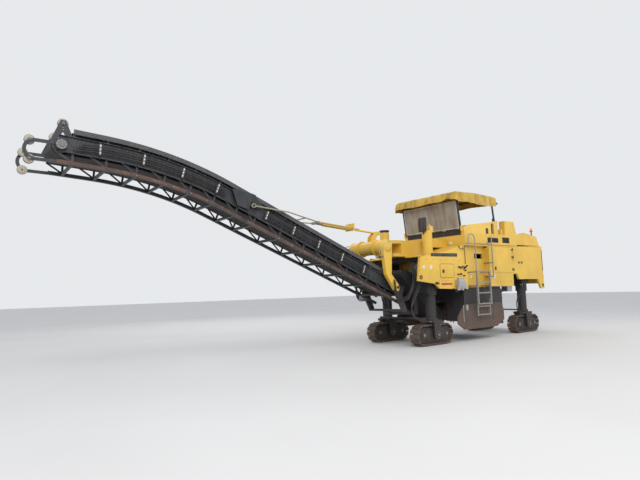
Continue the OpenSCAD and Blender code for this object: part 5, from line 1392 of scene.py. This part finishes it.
plate(bm, [(-2.98, 3.435), (-2.70, 3.472), (-2.74, 3.54), (-2.93, 3.515)], 0.80, 1.02, 0.006)
for y in (-0.5, 0.5):
    grip = ((-3.375, -0.10, 3.24), (-3.41, -0.09, 3.27), (-3.41, 0.09, 3.27), (-3.375, 0.10, 3.24))
    tube(bm, curved([at(x, y + across, z) for x, across, z in grip], 12), 0.010, 8)
piece("hoodCaps", bm, "engine_hood", "yellow")
bm = shape()
for side in (-1, 1):
    for z, r in lamps["tail"]:
        turned(bm, at(-3.4802, side * lamps["tailY"], z), (-1, 0, 0),
               [(0, r), (0.008, r), (0.012, r * 0.7), (0.0125, r * 0.3)])
piece("tailLenses", bm, "machine", "redLens")

door = {"hinges": (2.196, 2.607, 2.86), "knuckleX": -1.483, "knuckleY": 1.262, "leaf": (-1.474, -1.39),
        "latch": (-0.425, 2.17, -0.355, 2.28), "lock": (-0.39, 2.20)}
shield = {"face": 1.2303, "bar": (1.425, 0.60, 1.462, 1.10), "pad": (1.215, 0.93, 1.315, 1.115),
          "slots": ((1.335, 0.62, 1.40, 0.99), (0.50, 0.62, 0.60, 0.80), (-0.17, 0.62, -0.10, 0.80)),
          "bolts": ((-0.66, 0.88, 9), (-0.2, 0.43, 8)), "pitch": 0.2}
post = {"x": -0.95, "lean": 0.139, "foot": (0.05, 3.55), "top": (0.44, 3.936), "half": 0.041, "y": (0.936, 1.0045)}
panelRows = ((2.05, 1.845, 0.16, 0, 4), (-0.42, 1.79, -0.21, 0, 6), (-1.66, 3.0, -0.2, 0, 9), (-3.40, 1.95, 0, 0, 1),
             (1.55, 2.45, 0.3, 0, 6), (3.36, 2.15, 0, 0.12, 4))  # x, z, steps in x and z, count
platformBolts = {"row": (-0.70, 3.29, 0.24, 0, 8), "single": ((-1.68, 3.2), (-1.2, 3.75), (-1.66, 3.74)), "y": 1.21}
bm = shape()
for side in (1, -1):
    for z in door["hinges"]:
        x, y = door["knuckleX"], side * door["knuckleY"]
        tube(bm, [at(x, y, z - 0.05), at(x, y, z + 0.05)], 0.011, 10)
piece("doorKnuckles", bm, "machine", "plastic", sharp=50)
for hand, side in (("left", 1), ("right", -1)):
    label, flap = hand.title(), "side_plate_" + hand
    bm = shape()
    x0, x1 = door["leaf"]
    for z in door["hinges"]:
        plate(bm, rounded(x0, z - 0.03, x1, z + 0.03, 0.008), side * 1.2503, side * 1.257, 0.001)
    plate(bm, rounded(*door["latch"], 0.014), side * 1.2503, side * 1.264, 0.004)
    x, z = door["lock"]
    turned(bm, at(x, side * 1.264, z), (0, side, 0), [(-0.001, 0.016), (0.004, 0.016), (0.006, 0.01)], 16)
    piece("doorLatch" + label, bm, "service_door_" + hand, "plastic")
    bm = shape()
    plate(bm, rounded(*shield["bar"], 0.006), side * shield["face"], side * 1.244, 0.002)
    piece("plateBars" + label, bm, flap, "grey")
    bm = shape()
    plate(bm, rounded(*shield["pad"], 0.045, 7), side * shield["face"], side * 1.252, 0.006)
    piece("platePad" + label, bm, flap, "pale")
    bm = shape()
    for corners in shield["slots"]:
        plate(bm, rounded(*corners, 0.02), side * shield["face"], side * 1.2335, 0.001)
    piece("plateSlots" + label, bm, flap, "black")
    spots = [at(x + shield["pitch"] * i, side * 1.23, z) for x, z, count in shield["bolts"] for i in range(count)]
    places = [(spot, facing((0, side, 0))) for spot in spots]
    repeated("plateBolts" + label, boltHead(0.014, 0.011), places, flap, "pin")
    bm = shape()
    (u0, z0), (u1, z1), half = post["foot"], post["top"], post["half"]
    x0, x1 = (post["x"] + u * post["lean"] for u in (u0, u1))
    y0, y1 = (side * y for y in post["y"])
    plate(bm, [(x0 - half, z0), (x0 + half, z0), (x1 + half, z1), (x1 - half, z1)], y0, y1, 0.012)
    piece("postSleeve" + label, bm, "canopy_rear", "black", sharp=50)


def boltRow(x, z, dx, dz, count):
    return [(x + dx * i, z + dz * i) for i in range(count)]


places = []
for side in (-1, 1):
    out = facing((0, side, 0))
    for row in panelRows:
        places += [(at(x, side * wall, z), out) for x, z in boltRow(*row)]
    spots = boltRow(*platformBolts["row"]) + list(platformBolts["single"])
    places += [(at(x, side * platformBolts["y"], z), out) for x, z in spots]
repeated("panelBolts", boltHead(0.009, 0.006), places, "machine", "plastic")
